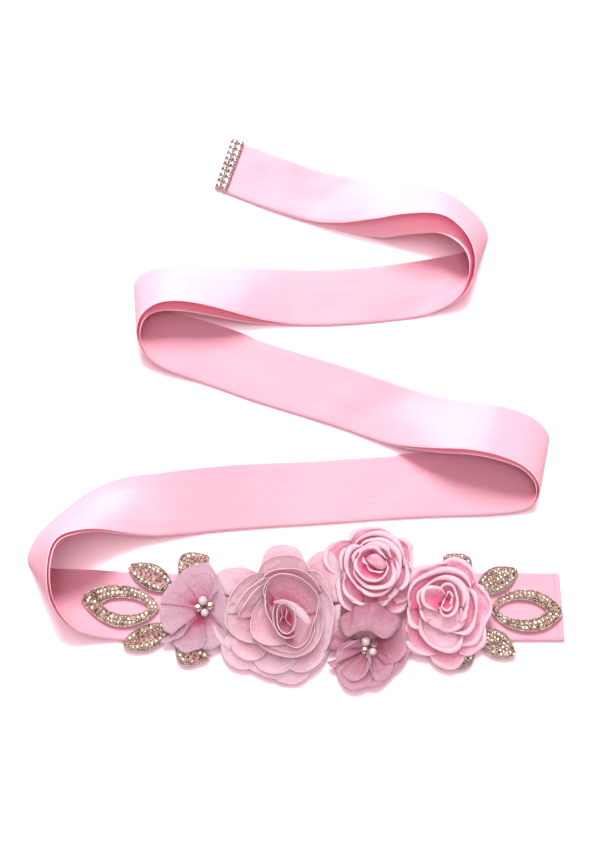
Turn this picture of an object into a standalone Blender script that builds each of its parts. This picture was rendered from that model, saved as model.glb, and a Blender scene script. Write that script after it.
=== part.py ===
"""Satin ribbon sash with fabric flowers and beaded leaf appliques, laid out in a zigzag.

The ribbon is doubled and runs in two layers through five legs and four standing turns.
The front leg carries five flowers between two leaf appliques. Metres, +Z up, resting on Z = 0.
"""

import math

import bpy
import bmesh
import numpy as np
from mathutils import Vector

MM = 0.001

# Edges that bend more than this many degrees are shaded sharp
SHARP_ANGLE = 35.0

# Driving sizes of the cloth
WALL = 1.0 * MM
GAP = 0.3 * MM
RIBBON_WIDTH = 40.0 * MM
LAYER_OFFSET = 0.5 * (WALL + GAP)
MIDDLE_HEIGHT = WALL + 0.5 * GAP

# The sections are measured from a mark near the middle of the layout, and the object's
# origin is this far from that mark, at the middle of the footprint
ORIGIN_X = -4.0 * MM
ORIGIN_Y = 20.4 * MM

# Route of the ribbon's front edge, from the tail to the folded front end, in mm and degrees.
# yaw and dip turn the line that runs from the front edge to the back edge.
# slack is how far one layer stands off the other: below 0 the lower run, above 0 the upper run.
SECTIONS = (
    # stretch, x, y, z, yaw, dip, slack
    ("leg_1", -56.0, 165.4, 1.15, 15, 0, 0),
    ("leg_1", -8.0, 144.5, 1.15, 19, 0, 0),
    ("leg_1", 7.0, 139.3, 1.6, 16, 0.5, -2),
    ("leg_1", 26.0, 134.5, 7.0, 12, 8, -9),
    ("leg_1", 50.5, 132.0, 18.5, 11, 23, -14),
    ("leg_1", 72.5, 131.0, 25.5, 12, 32, -13),
    ("turn_1", 89.0, 127.5, 28.5, 13, 37, -11),
    ("turn_1", 101.3, 117.0, 27.8, 18, 38, -7),
    ("turn_1", 107.5, 102.5, 23.8, 22, 34, -3),
    ("turn_1", 106.8, 91.0, 18.5, 20, 25.5, -1.5),
    ("turn_1", 103.5, 84.0, 13.0, 16, 17, -1),
    ("turn_1", 91.5, 76.3, 6.0, 10, 7, 0),
    ("leg_2", 78.0, 72.0, 2.4, 5, 1.8, 0),
    ("leg_2", 60.0, 69.0, 1.15, 2, 0, 0),
    ("leg_2", 0.0, 65.2, 1.15, 0, 0, 0),
    ("leg_2", -18.7, 66.0, 4.5, -1, 4.8, 3),
    ("leg_2", -34.3, 67.0, 10.0, -4, 12.5, 5),
    ("turn_2", -57.5, 70.2, 18.0, -9, 24, 6),
    ("turn_2", -75.0, 71.5, 21.0, -14, 27, 6),
    ("turn_2", -90.0, 67.8, 21.5, -17, 30, 4),
    ("turn_2", -95.9, 62.0, 21.0, -13, 30, 2),
    ("turn_2", -98.5, 54.5, 18.5, -9, 25.5, 1),
    ("turn_2", -98.3, 48.3, 15.5, -6, 21, 0.5),
    ("turn_2", -94.3, 41.5, 10.5, -2, 13.5, 0),
    ("turn_2", -86.5, 35.5, 6.0, 5, 7, 0),
    ("leg_3", -74.8, 30.8, 3.3, 11, 3, 0),
    ("leg_3", -60.0, 26.0, 1.5, 16, 0.4, 0),
    ("leg_3", -36.5, 17.0, 1.15, 19, 0, 0),
    ("leg_3", 30.0, -6.0, 1.15, 19, 0, 0),
    ("leg_3", 52.0, -14.7, 3.3, 18, 2.8, -1),
    ("leg_3", 66.5, -19.2, 8.8, 15, 10, -2),
    ("turn_3", 82.0, -22.5, 15.5, 14, 18, -3),
    ("turn_3", 98.3, -25.0, 19.3, 15, 21, -3),
    ("turn_3", 114.0, -28.3, 19.5, 15, 20, -3),
    ("turn_3", 124.4, -32.0, 18.8, 17, 20, -2),
    ("turn_3", 132.0, -36.5, 17.5, 18, 20.5, -1.5),
    ("turn_3", 136.3, -41.0, 15.8, 17, 20, -1),
    ("turn_3", 138.5, -46.5, 13.0, 16, 17, -0.5),
    ("turn_3", 137.6, -51.7, 8.7, 14, 10.5, 0),
    ("turn_3", 131.6, -56.0, 3.6, 10, 3.5, 0),
    ("leg_4", 121.3, -58.0, 1.6, 5, 0.6, 0),
    ("leg_4", 82.0, -59.7, 1.15, 0, 0, 0),
    ("leg_4", 10.5, -64.3, 1.15, -2, 0, 0),
    ("leg_4", -57.0, -69.7, 1.3, -2, -6, 0),
    ("leg_4", -86.5, -73.2, 6.5, -4, 4, 0),
    ("turn_4", -105.0, -74.0, 18.0, -14, 24.5, 0.5),
    ("turn_4", -116.3, -75.5, 27.0, -22, 40, 0.7),
    ("turn_4", -126.0, -78.5, 32.7, -35, 52, 0.7),
    ("turn_4", -132.8, -82.0, 34.7, -48, 57, 0.7),
    ("turn_4", -136.3, -87.0, 35.0, -56, 57.8, 0.7),
    ("turn_4", -138.0, -95.0, 34.2, -55, 55.8, 0.6),
    ("turn_4", -138.4, -104.5, 31.5, -45, 49.5, 0.5),
    ("turn_4", -136.7, -115.0, 26.7, -35, 39.8, 0.3),
    ("turn_4", -132.3, -123.3, 20.6, -23, 29.2, 0.1),
    ("turn_4", -125.3, -129.0, 12.9, -13, 17.1, 0),
    ("leg_5", -115.0, -131.5, 6.0, -6, 7, 0),
    ("leg_5", -104.0, -132.6, 2.2, -2, 1.5, 0),
    ("leg_5", -90.0, -132.9, 1.15, 0, 0, 0),
    ("leg_5", 0.0, -132.9, 1.15, 0, 0, 0),
    ("leg_5", 148.3, -132.9, 1.15, 0, 0, 0),
)

STRETCHES = ("leg_1", "turn_1", "leg_2", "turn_2", "leg_3", "turn_3", "leg_4", "turn_4", "leg_5")
LONG_GAP = 25.0 * MM
SHORT_GAP_FACETS = 2
LONG_GAP_FACETS = 3
ACROSS_FACETS = 3
EASE = 3.0 * MM

# The flowers: middle, outer radius, how oval they are front to back, the height of their
# lowest petals, how far the sewn middle of those dips, and how readily each gives way
FLOWERS = {
    # name: (x, y, radius, oval, seat, dip, give)
    "big_rose": (-12.0, -117.5, 37.5, 0.04, 3.1, 0.0, 0.15),
    "top_rose": (40.0, -92.0, 25.0, 0.0, 3.1, 0.0, 0.55),
    "right_rose": (82.5, -118.0, 27.5, 0.06, 5.9, 2.8, 0.35),
    "left_bloom": (-54.0, -115.5, 27.0, 0.04, 5.9, 2.8, 0.95),
    "front_bloom": (38.5, -137.5, 27.5, 0.0, 3.1, 0.0, 0.45),
}

# Tiers of petals, outermost first, in mm and degrees over the flower's seat. reach is the share
# of the flower's radius, rise the height of the tier's middle and rim the height of its rim.
# notch is how far the rim draws in between petals, wave how far a petal's middle stands up.
TIERS = {
    # flower kind: (name, petals, reach, rise, rim, steepness, notch, wave, turn)
    "big": (
        ("outer_petals", 6, 1.0, 0.0, 2.6, 1.6, 0.16, 1.2, 90),
        ("second_petals", 6, 0.86, 1.4, 8.5, 1.6, 0.14, 1.6, 120),
        ("third_petals", 5, 0.68, 2.8, 14.0, 2.0, 0.12, 2.0, 80),
        ("cup_petals", 4, 0.47, 4.2, 20.0, 2.4, 0.10, 2.0, 40),
        ("heart", 3, 0.25, 5.6, 22.5, 2.8, 0.10, 2.0, 100),
    ),
    "satin": (
        ("outer_petals", 5, 1.0, 0.0, 4.5, 1.5, 0.13, 1.2, 90),
        ("middle_petals", 5, 0.79, 1.4, 11.0, 1.8, 0.10, 1.6, 54),
        ("inner_petals", 4, 0.57, 2.8, 16.0, 2.2, 0.08, 1.6, 30),
    ),
    "bloom": (
        ("lower_petals", 5, 1.0, 0.0, 3.0, 1.3, 0.20, 1.5, 90),
        ("upper_petals", 5, 0.80, 1.5, 6.0, 1.3, 0.18, 2.0, 54),
    ),
}
FLOWER_KINDS = {
    # flower: (kind, material)
    "big_rose": ("big", "chiffon"),
    "top_rose": ("satin", "rose_satin"),
    "right_rose": ("satin", "rose_satin"),
    "left_bloom": ("bloom", "lilac_chiffon"),
    "front_bloom": ("bloom", "lilac_chiffon"),
}
PETAL_FACETS = 6
TIER_RINGS = (0.3, 0.6, 0.84, 1.0)
FLAT_SHARE = 0.3
MEAN_LOBE = 0.6
NEIGHBOUR_GAP = 0.4

# The coiled heart of a satin rose
COIL_TURNS = 1.9
COIL_OUTER = 7.2 * MM
COIL_INNER = 1.9 * MM
COIL_FOOT = 5.2 * MM
COIL_RIM = 18.4 * MM
COIL_FALL = 1.5 * MM
COIL_TAPER = 0.86
COIL_FACETS = 28

# The centre of a bloom: two pearls and two stones on a ring
BEAD_RING = 3.4 * MM
BEADS = (
    # name, kind, radius in mm, angle in degrees
    ("large_pearl", "pearl", 2.6, 100),
    ("right_stone", "stone", 2.3, 5),
    ("small_pearl", "pearl", 2.2, 280),
    ("left_stone", "stone", 2.3, 195),
)
BEAD_CLUSTER_TURN = {"left_bloom": 0, "front_bloom": 25}
BEAD_SEAT = 2.5 * MM

# Leaf appliques, in mm on the front leg as if it were flat all the way. They are laid on the
# ribbon's real surface, which rises under the left loop.
LEAF_SEAT = 0.5 * MM
LEAF_EDGE = 0.9 * MM
LEAF_RIDGE = 2.1 * MM
LEAF_VALLEY = 1.3 * MM
LEAF_FACETS = 9
LOOP_FACETS = 28
LOOP_POINT = 1.35
LEAF_ROUND = 0.8
LEAF_ENDS = (0.12, 0.96)
LOOPS = {
    # name: (middle x, y, half length, half width, opening middle x, y, half length, half width, turn)
    "left_leaf_loop": (-102.5, -113.5, 22.5, 12.2, -99.0, -113.7, 13.0, 4.7, -2),
    "right_leaf_loop": (128.5, -116.0, 20.5, 12.2, 125.5, -115.5, 13.5, 5.6, -2),
}
LEAVES = {
    # name: (root x, root y, tip x, tip y, width, bend)
    "left_upper_leaf": (-75.0, -102.5, -97.5, -90.0, 15.0, -0.5),
    "left_lower_leaf": (-75.0, -126.5, -99.5, -136.0, 15.0, 0.5),
    "left_top_leaf": (-67.5, -98.0, -53.5, -84.5, 14.0, 4.5),
    "left_bottom_leaf": (-67.5, -131.5, -50.5, -143.0, 14.0, -4.5),
    "right_upper_leaf": (103.0, -104.0, 124.0, -92.5, 15.0, 0.5),
    "right_lower_leaf": (101.5, -129.0, 119.5, -141.0, 15.5, 0.0),
    "right_top_leaf": (95.5, -98.0, 84.0, -84.0, 14.0, -3.5),
    "right_bottom_leaf": (96.0, -132.5, 78.0, -147.0, 13.0, 4.0),
}

# The band of stones across the tail
BAND_COLUMNS = 2
BAND_ROWS = 9
BAND_WIDTH = 8.4 * MM
BAND_CELL = 3
BAND_BASE = 1.0 * MM
STONE_HEIGHT = 1.3 * MM
BAND_INSET = 0.6 * MM

# Colours, roughness and metallic value of each material
FINISHES = {
    # name: (red, green, blue, roughness, metallic)
    "satin": (0.90, 0.55, 0.66, 0.32, 0.0),
    "chiffon": (0.92, 0.62, 0.72, 0.75, 0.0),
    "lilac_chiffon": (0.85, 0.55, 0.70, 0.75, 0.0),
    "rose_satin": (0.92, 0.45, 0.60, 0.40, 0.0),
    "pearl": (0.92, 0.88, 0.86, 0.20, 0.0),
    "stone": (0.80, 0.76, 0.72, 0.12, 0.6),
    "beadwork": (0.55, 0.47, 0.42, 0.35, 0.5),
}


def clear_scene():
    for old in list(bpy.data.objects):
        bpy.data.objects.remove(old, do_unlink=True)


def make_material(name):
    red, green, blue, roughness, metallic = FINISHES[name]
    material = bpy.data.materials.new(name)
    material.use_nodes = True
    shader = material.node_tree.nodes["Principled BSDF"]
    shader.inputs["Base Color"].default_value = (red, green, blue, 1.0)
    shader.inputs["Roughness"].default_value = roughness
    shader.inputs["Metallic"].default_value = metallic
    return material


def place(x, y, z=0.0):
    """A point given in mm from the layout's mark, in the object's own frame."""
    return Vector((x * MM - ORIGIN_X, y * MM - ORIGIN_Y, z * MM))


def add_object(name, shape, finish):
    """Make an object of a bmesh, shaded smooth but for its sharp edges."""
    mesh = bpy.data.meshes.new(name)
    shape.normal_update()
    shape.to_mesh(mesh)
    shape.free()
    mesh.shade_smooth()
    mesh.set_sharp_from_angle(angle=math.radians(SHARP_ANGLE))
    mesh.materials.append(MATERIALS[finish])
    thing = bpy.data.objects.new(name, mesh)
    SASH.objects.link(thing)
    return thing


def thicken(thing):
    """Give an open sheet its wall, half to each side."""
    solidify = thing.modifiers.new("wall", "SOLIDIFY")
    solidify.thickness = WALL
    solidify.offset = 0.0


def grid_sheet(rows, closed=False):
    """An open sheet through rows of points. A closed one joins its last row to its first.

    Every cell is split the same way, so that sheets on one form stay parallel.
    """
    sheet = bmesh.new()
    lattice = [[sheet.verts.new(point) for point in row] for row in rows]
    last = len(lattice) if closed else len(lattice) - 1
    for i in range(last):
        here = lattice[i]
        there = lattice[(i + 1) % len(lattice)]
        for j in range(len(here) - 1):
            sheet.faces.new((here[j], there[j], there[j + 1]))
            sheet.faces.new((here[j], there[j + 1], here[j + 1]))
    return sheet


# The ribbon


def natural_spline(knots, values, at):
    """Values of the smooth cubic curve through the knots, one column for each quantity."""
    count = len(knots)
    step = np.diff(knots)
    system = np.zeros((count, count))
    bend = np.zeros(values.shape)
    system[0, 0] = 1.0
    system[-1, -1] = 1.0
    for i in range(1, count - 1):
        system[i, i - 1] = step[i - 1]
        system[i, i] = 2.0 * (step[i - 1] + step[i])
        system[i, i + 1] = step[i]
        rise = (values[i + 1] - values[i]) / step[i]
        fall = (values[i] - values[i - 1]) / step[i - 1]
        bend[i] = 6.0 * (rise - fall)
    second = np.linalg.solve(system, bend)
    k = np.clip(np.searchsorted(knots, at) - 1, 0, count - 2)
    width = step[k][:, None]
    a = (knots[k + 1] - at)[:, None] / width
    b = (at - knots[k])[:, None] / width
    curved = (a**3 - a) * second[k] + (b**3 - b) * second[k + 1]
    return a * values[k] + b * values[k + 1] + curved * width**2 / 6.0


def steady_spline(knots, values, at):
    """Like natural_spline, but it never passes above or below the two knots beside it."""
    step = np.diff(knots)[:, None]
    slope = np.diff(values, axis=0) / step
    before, after = slope[:-1], slope[1:]
    same_way = before * after > 0.0
    total = np.where(same_way, before + after, 1.0)
    tangent = np.zeros(values.shape)
    tangent[1:-1] = np.where(same_way, 2.0 * before * after / total, 0.0)
    k = np.clip(np.searchsorted(knots, at) - 1, 0, len(knots) - 2)
    width = step[k]
    b = np.clip((at - knots[k])[:, None] / width, 0.0, 1.0)
    a = 1.0 - b
    start = a * a * (1.0 + 2.0 * b) * values[k] + a * a * b * width * tangent[k]
    end = b * b * (1.0 + 2.0 * a) * values[k + 1] - b * b * a * width * tangent[k + 1]
    return start + end


def cross_direction(yaw, dip):
    """Unit vectors from the front edge to the back edge."""
    yaw = np.radians(yaw)
    dip = np.radians(dip)
    flat = np.cos(dip)
    return np.stack([np.sin(yaw) * flat, np.cos(yaw) * flat, -np.sin(dip)], axis=-1)


def route_table():
    """Distances along the ribbon's middle line and the sections there, in metres and degrees."""
    table = np.array([row[1:] for row in SECTIONS], dtype=float)
    table[:, :3] *= MM
    table[:, 5] *= MM
    table[:, 0] -= ORIGIN_X
    table[:, 1] -= ORIGIN_Y
    middle = table[:, :3] + 0.5 * RIBBON_WIDTH * cross_direction(table[:, 3], table[:, 4])
    strides = np.linalg.norm(np.diff(middle, axis=0), axis=1)
    return np.concatenate([[0.0], np.cumsum(strides)]), table


def sections_at(distances):
    """Front edge x, y, z, yaw, dip and slack. The last ones are eased over a short reach."""
    knots, table = route_table()
    plan = natural_spline(knots, table[:, [0, 1, 3]], distances)
    eased = 0.0
    for share in (-1.0, -0.5, 0.0, 0.5, 1.0):
        eased = eased + 0.2 * steady_spline(knots, table[:, [2, 4, 5]], distances + share * EASE)
    x, y, yaw = plan.T
    z, dip, slack = eased.T
    return x, y, z, yaw, dip, slack


def ribbon_middle(distances, across):
    """Points between the two layers, and the way across there, for arrays of one shape."""
    x, y, z, yaw, dip, slack = (part.reshape(across.shape) for part in sections_at(distances.ravel()))
    way = cross_direction(yaw, dip)
    points = np.stack([x, y, z], axis=-1) + (RIBBON_WIDTH * across)[..., None] * way
    points[..., 2] = np.maximum(points[..., 2], MIDDLE_HEIGHT)
    return points, way, slack


def ribbon_points(distances, across, layer, height=0.0):
    """Points of one layer's middle surface, or a height out from it.

    layer is 1 for the upper run and -1 for the lower run. across runs from 0 at the front edge
    to 1 at the back edge.
    """
    distances, across, height = np.broadcast_arrays(distances, across, height)
    probe = 0.2 * MM
    points, way, slack = ribbon_middle(distances, across)
    along = ribbon_middle(distances + probe, across)[0] - ribbon_middle(distances - probe, across)[0]
    normal = np.cross(along, way)
    normal /= np.linalg.norm(normal, axis=-1, keepdims=True)
    stand_off = np.maximum(layer * slack, 0.0) * np.clip(1.0 - across, 0.0, 1.0)
    points = points + layer * normal * (LAYER_OFFSET + stand_off + height)[..., None]
    points[..., 2] = np.maximum(points[..., 2], 0.5 * WALL)
    return points


def stretch_distances(name):
    """Where one stretch of the ribbon has its cross lines, from its start to its end."""
    knots = route_table()[0]
    names = [row[0] for row in SECTIONS]
    first = names.index(name)
    last = min(first + names.count(name), len(names) - 1)
    marks = []
    for here, there in zip(knots[first:last], knots[first + 1 : last + 1]):
        facets = LONG_GAP_FACETS if there - here > LONG_GAP else SHORT_GAP_FACETS
        marks.extend(np.linspace(here, there, facets, endpoint=False))
    marks.append(knots[last])
    marks = np.array(marks)
    marks[0] += 0.5 * GAP
    marks[-1] -= 0.5 * GAP
    return marks


def make_ribbon():
    across = np.linspace(0.0, 1.0, ACROSS_FACETS + 1)
    for run, layer in (("upper", 1), ("lower", -1)):
        for name in STRETCHES:
            rows = ribbon_points(stretch_distances(name)[:, None], across[None, :], layer)
            thicken(add_object(f"{run}_{name}", grid_sheet(rows), "satin"))


def make_end_fold():
    """The doubled front end, where the upper run turns under and becomes the lower run."""
    facets = 6
    front_x, front_y = SECTIONS[-1][1], SECTIONS[-1][2]
    start = place(front_x, front_y) + Vector((0.5 * GAP, 0.0, MIDDLE_HEIGHT))
    rows = []
    for i in range(facets + 1):
        angle = math.pi * (0.5 - i / facets)
        arc = Vector((math.cos(angle), 0.0, math.sin(angle))) * LAYER_OFFSET
        rows.append((start + arc, start + arc + Vector((0.0, RIBBON_WIDTH, 0.0))))
    thicken(add_object("front_end_fold", grid_sheet(rows), "satin"))


# The flowers


def flower_limits(name):
    """Half planes where a flower meets its neighbours: direction and distance in mm."""
    x, y, radius, _, _, _, give = FLOWERS[name]
    limits = []
    for other, (ox, oy, oradius, _, _, _, ogive) in FLOWERS.items():
        if other == name:
            continue
        distance = math.hypot(ox - x, oy - y)
        overlap = radius + oradius - distance
        if overlap > 0.0:
            own_share = give / (give + ogive)
            meeting = radius - overlap * own_share - NEIGHBOUR_GAP
            limits.append((math.atan2(oy - y, ox - x), meeting))
    return limits


def petal_radius(angle, reach, petals, notch, turn, oval, limits):
    """Rim radius in one direction, the share of it that the neighbours leave, and how near
    the direction is to a petal's middle."""
    lobe = abs(math.cos(0.5 * petals * (angle - math.radians(turn))))
    radius = reach * (1.0 - notch * (1.0 - lobe) ** 2)
    radius *= 1.0 - oval * math.cos(2.0 * angle)
    kept = 1.0
    for direction, distance in limits:
        facing = math.cos(angle - direction)
        if facing > 0.05:
            kept = min(kept, distance / facing / radius)
    return radius, kept, lobe


def make_tier(flower, tier):
    x, y, radius, oval, seat, dip, _ = FLOWERS[flower]
    name, petals, share, rise, rim, steepness, notch, wave, turn = tier
    limits = flower_limits(flower)
    facets = petals * PETAL_FACETS
    rings = []
    for i in range(facets):
        angle = 2.0 * math.pi * i / facets + math.radians(turn)
        reach, kept, lobe = petal_radius(angle, share * radius, petals, notch, turn, oval, limits)
        ray = []
        for ring in TIER_RINGS:
            lift = max(kept * ring - FLAT_SHARE, 0.0) / (1.0 - FLAT_SHARE)
            height = rise + (rim - rise) * lift**steepness + wave * (lobe - MEAN_LOBE) * lift**2
            out = kept * ring * reach
            ray.append(place(x + out * math.cos(angle), y + out * math.sin(angle), seat + height))
        rings.append(ray)
    sheet = grid_sheet(rings, closed=True)
    sheet.verts.ensure_lookup_table()
    middle = sheet.verts.new(place(x, y, seat + rise - (dip if rise == 0.0 else 0.0)))
    sheet.verts.ensure_lookup_table()
    stations = len(TIER_RINGS)
    for i in range(facets):
        here = sheet.verts[i * stations]
        there = sheet.verts[((i + 1) % facets) * stations]
        sheet.faces.new((middle, there, here))
    bmesh.ops.recalc_face_normals(sheet, faces=sheet.faces)
    thicken(add_object(f"{flower}_{name}", sheet, FLOWER_KINDS[flower][1]))


def make_coiled_heart(flower):
    """The rolled strip that fills the middle of a satin rose."""
    x, y, _, _, seat, _, _ = FLOWERS[flower]
    centre = place(x, y, seat)
    rows = []
    for i in range(COIL_FACETS + 1):
        part = i / COIL_FACETS
        angle = 2.0 * math.pi * COIL_TURNS * part
        radius = COIL_OUTER + (COIL_INNER - COIL_OUTER) * part
        out = Vector((math.cos(angle), math.sin(angle), 0.0))
        foot = centre + out * (COIL_TAPER * radius)
        foot.z += COIL_FOOT
        rim = centre + out * radius
        rim.z += COIL_RIM - COIL_FALL * part
        rows.append((foot, rim))
    thicken(add_object(f"{flower}_coiled_heart", grid_sheet(rows), "rose_satin"))


def make_bead(name, kind, centre, radius):
    bead = bmesh.new()
    segments, rings = (10, 7) if kind == "pearl" else (8, 4)
    bmesh.ops.create_uvsphere(bead, u_segments=segments, v_segments=rings, radius=radius)
    bmesh.ops.translate(bead, verts=bead.verts, vec=centre)
    add_object(name, bead, kind)


def make_bead_centre(flower):
    x, y, _, _, seat, _, _ = FLOWERS[flower]
    for name, kind, radius, angle in BEADS:
        turned = math.radians(angle + BEAD_CLUSTER_TURN[flower])
        centre = place(x, y, seat)
        centre += Vector((math.cos(turned), math.sin(turned), 0.0)) * BEAD_RING
        centre.z += BEAD_SEAT + radius * MM
        make_bead(f"{flower}_{name}", kind, centre, radius * MM)


def make_flowers():
    for flower, (kind, _) in FLOWER_KINDS.items():
        for tier in TIERS[kind]:
            make_tier(flower, tier)
        if kind == "satin":
            make_coiled_heart(flower)
        if kind == "bloom":
            make_bead_centre(flower)


# The appliques


def pointed(angle):
    """Height of a pointed leaf outline of unit half width at an angle round it."""
    sine = math.sin(angle)
    return math.copysign(abs(sine) ** LOOP_POINT, sine)


def on_front_leg(x, y, height):
    """A point of an applique, from its flat place in mm and its height over the ribbon."""
    front_x, front_y = SECTIONS[-1][1:3]
    distance = route_table()[0][-1] - (front_x - x) * MM
    across = (y - front_y) * MM / RIBBON_WIDTH
    return Vector(ribbon_points(distance, across, 1, 0.5 * WALL + LEAF_SEAT + height))


def closed_rings(rings, capped):
    """A solid through rings of points, capped at both ends or joined end to start."""
    body = bmesh.new()
    lattice = [[body.verts.new(point) for point in ring] for ring in rings]
    following = lattice[1:] if capped else lattice[1:] + lattice[:1]
    for here, there in zip(lattice, following):
        for j in range(len(here)):
            k = (j + 1) % len(here)
            body.faces.new((here[j], there[j], there[k], here[k]))
    if capped:
        body.faces.new(lattice[0])
        body.faces.new(lattice[-1][::-1])
    bmesh.ops.triangulate(body, faces=body.faces)
    bmesh.ops.recalc_face_normals(body, faces=body.faces)
    return body


def make_leaf_loop(name):
    """An open leaf: a ridged band round an opening that shows the satin."""
    x, y, length, width, open_x, open_y, open_length, open_width, turn = LOOPS[name]
    turn = math.radians(turn)
    profile = (
        # share of the band from the opening outwards, height
        (0.0, 0.0),
        (0.0, LEAF_EDGE),
        (0.5, LEAF_RIDGE),
        (1.0, LEAF_EDGE),
        (1.0, 0.0),
    )
    rings = []
    for i in range(LOOP_FACETS):
        angle = 2.0 * math.pi * i / LOOP_FACETS
        ring = []
        for share, height in profile:
            middle_x = open_x + share * (x - open_x)
            middle_y = open_y + share * (y - open_y)
            along = (open_length + share * (length - open_length)) * math.cos(angle)
            aside = (open_width + share * (width - open_width)) * pointed(angle)
            right = middle_x + along * math.cos(turn) - aside * math.sin(turn)
            back = middle_y + along * math.sin(turn) + aside * math.cos(turn)
            ring.append(on_front_leg(right, back, height))
        rings.append(ring)
    add_object(name, closed_rings(rings, capped=False), "beadwork")


def make_leaf(name):
    """A closed leaf: a flat back and two bead ridges beside a lower middle."""
    root_x, root_y, tip_x, tip_y, width, bend = LEAVES[name]
    root = Vector((root_x, root_y))
    axis = Vector((tip_x, tip_y)) - root
    side = Vector((-axis.y, axis.x)).normalized()
    profile = (
        # share of the half width, height
        (-1.0, 0.0),
        (-1.0, LEAF_EDGE),
        (-0.55, LEAF_RIDGE),
        (0.0, LEAF_VALLEY),
        (0.55, LEAF_RIDGE),
        (1.0, LEAF_EDGE),
        (1.0, 0.0),
    )
    first, last = LEAF_ENDS
    rings = []
    for i in range(LEAF_FACETS + 1):
        part = i / LEAF_FACETS
        bulge = math.sin(math.pi * (first + (last - first) * part)) ** LEAF_ROUND
        spine = root + axis * part + side * bend * math.sin(math.pi * part)
        ring = []
        for share, height in profile:
            spot = spine + side * (0.5 * width * bulge * share)
            ring.append(on_front_leg(spot.x, spot.y, height))
        rings.append(ring)
    add_object(name, closed_rings(rings, capped=True), "beadwork")


def make_appliques():
    for name in LOOPS:
        make_leaf_loop(name)
    for name in LEAVES:
        make_leaf(name)


def make_tail_band():
    """Two columns of set stones on a flat strip across the ribbon's tail."""
    columns = BAND_COLUMNS * BAND_CELL
    rows = BAND_ROWS * BAND_CELL
    foot = 0.5 * WALL + GAP
    distances = BAND_INSET + np.linspace(0.0, BAND_WIDTH, columns + 1)
    across = np.linspace(0.0, 1.0, rows + 1)
    inside_column = np.arange(columns + 1) % BAND_CELL > 0
    inside_row = np.arange(rows + 1) % BAND_CELL > 0
    heights = foot + BAND_BASE + STONE_HEIGHT * (inside_column[:, None] & inside_row[None, :])
    band = grid_sheet(ribbon_points(distances[:, None], across[None, :], 1, heights))
    rim = [edge for edge in band.edges if edge.is_boundary]
    wall = bmesh.ops.extrude_edge_only(band, edges=rim)["geom"]
    for vertex in wall:
        if isinstance(vertex, bmesh.types.BMVert):
            vertex.co.z -= BAND_BASE
    base = [edge for edge in band.edges if edge.is_boundary]
    bmesh.ops.contextual_create(band, geom=base)
    bmesh.ops.recalc_face_normals(band, faces=band.faces)
    add_object("tail_stone_band", band, "stone")


clear_scene()
SASH = bpy.data.collections.new("flower_sash")
bpy.context.scene.collection.children.link(SASH)
MATERIALS = {name: make_material(name) for name in FINISHES}
make_ribbon()
make_end_fold()
make_flowers()
make_appliques()
make_tail_band()
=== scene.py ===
"""Looks for the satin ribbon sash: one folded satin ribbon with its creases, petals sewn into
flowers, beaded leaf appliques and the band of stones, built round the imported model."""

import math
import random

import bpy
import numpy as np
from mathutils import Matrix, Vector


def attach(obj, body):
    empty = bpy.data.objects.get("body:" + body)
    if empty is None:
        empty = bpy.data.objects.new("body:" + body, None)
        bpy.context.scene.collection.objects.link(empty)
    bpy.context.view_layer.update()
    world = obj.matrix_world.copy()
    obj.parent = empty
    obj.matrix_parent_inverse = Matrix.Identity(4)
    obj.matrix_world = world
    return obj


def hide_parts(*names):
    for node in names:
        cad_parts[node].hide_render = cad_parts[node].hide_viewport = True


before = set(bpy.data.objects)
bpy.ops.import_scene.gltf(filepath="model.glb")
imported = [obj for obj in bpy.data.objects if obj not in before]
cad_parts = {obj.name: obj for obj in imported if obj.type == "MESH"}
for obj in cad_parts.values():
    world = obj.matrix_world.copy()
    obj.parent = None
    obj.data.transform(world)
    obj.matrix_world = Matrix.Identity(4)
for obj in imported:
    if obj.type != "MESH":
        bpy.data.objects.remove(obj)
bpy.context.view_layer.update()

MM = 0.001

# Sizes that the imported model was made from
WALL = 1.0 * MM
GAP = 0.3 * MM
RIBBON_WIDTH = 40.0 * MM
LAYER_OFFSET = 0.5 * (WALL + GAP)
MIDDLE_HEIGHT = WALL + 0.5 * GAP
ORIGIN_X = -4.0 * MM
ORIGIN_Y = 20.4 * MM
EASE = 3.0 * MM
EASE_SHARES = (-1.0, -0.5, 0.0, 0.5, 1.0)

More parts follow.
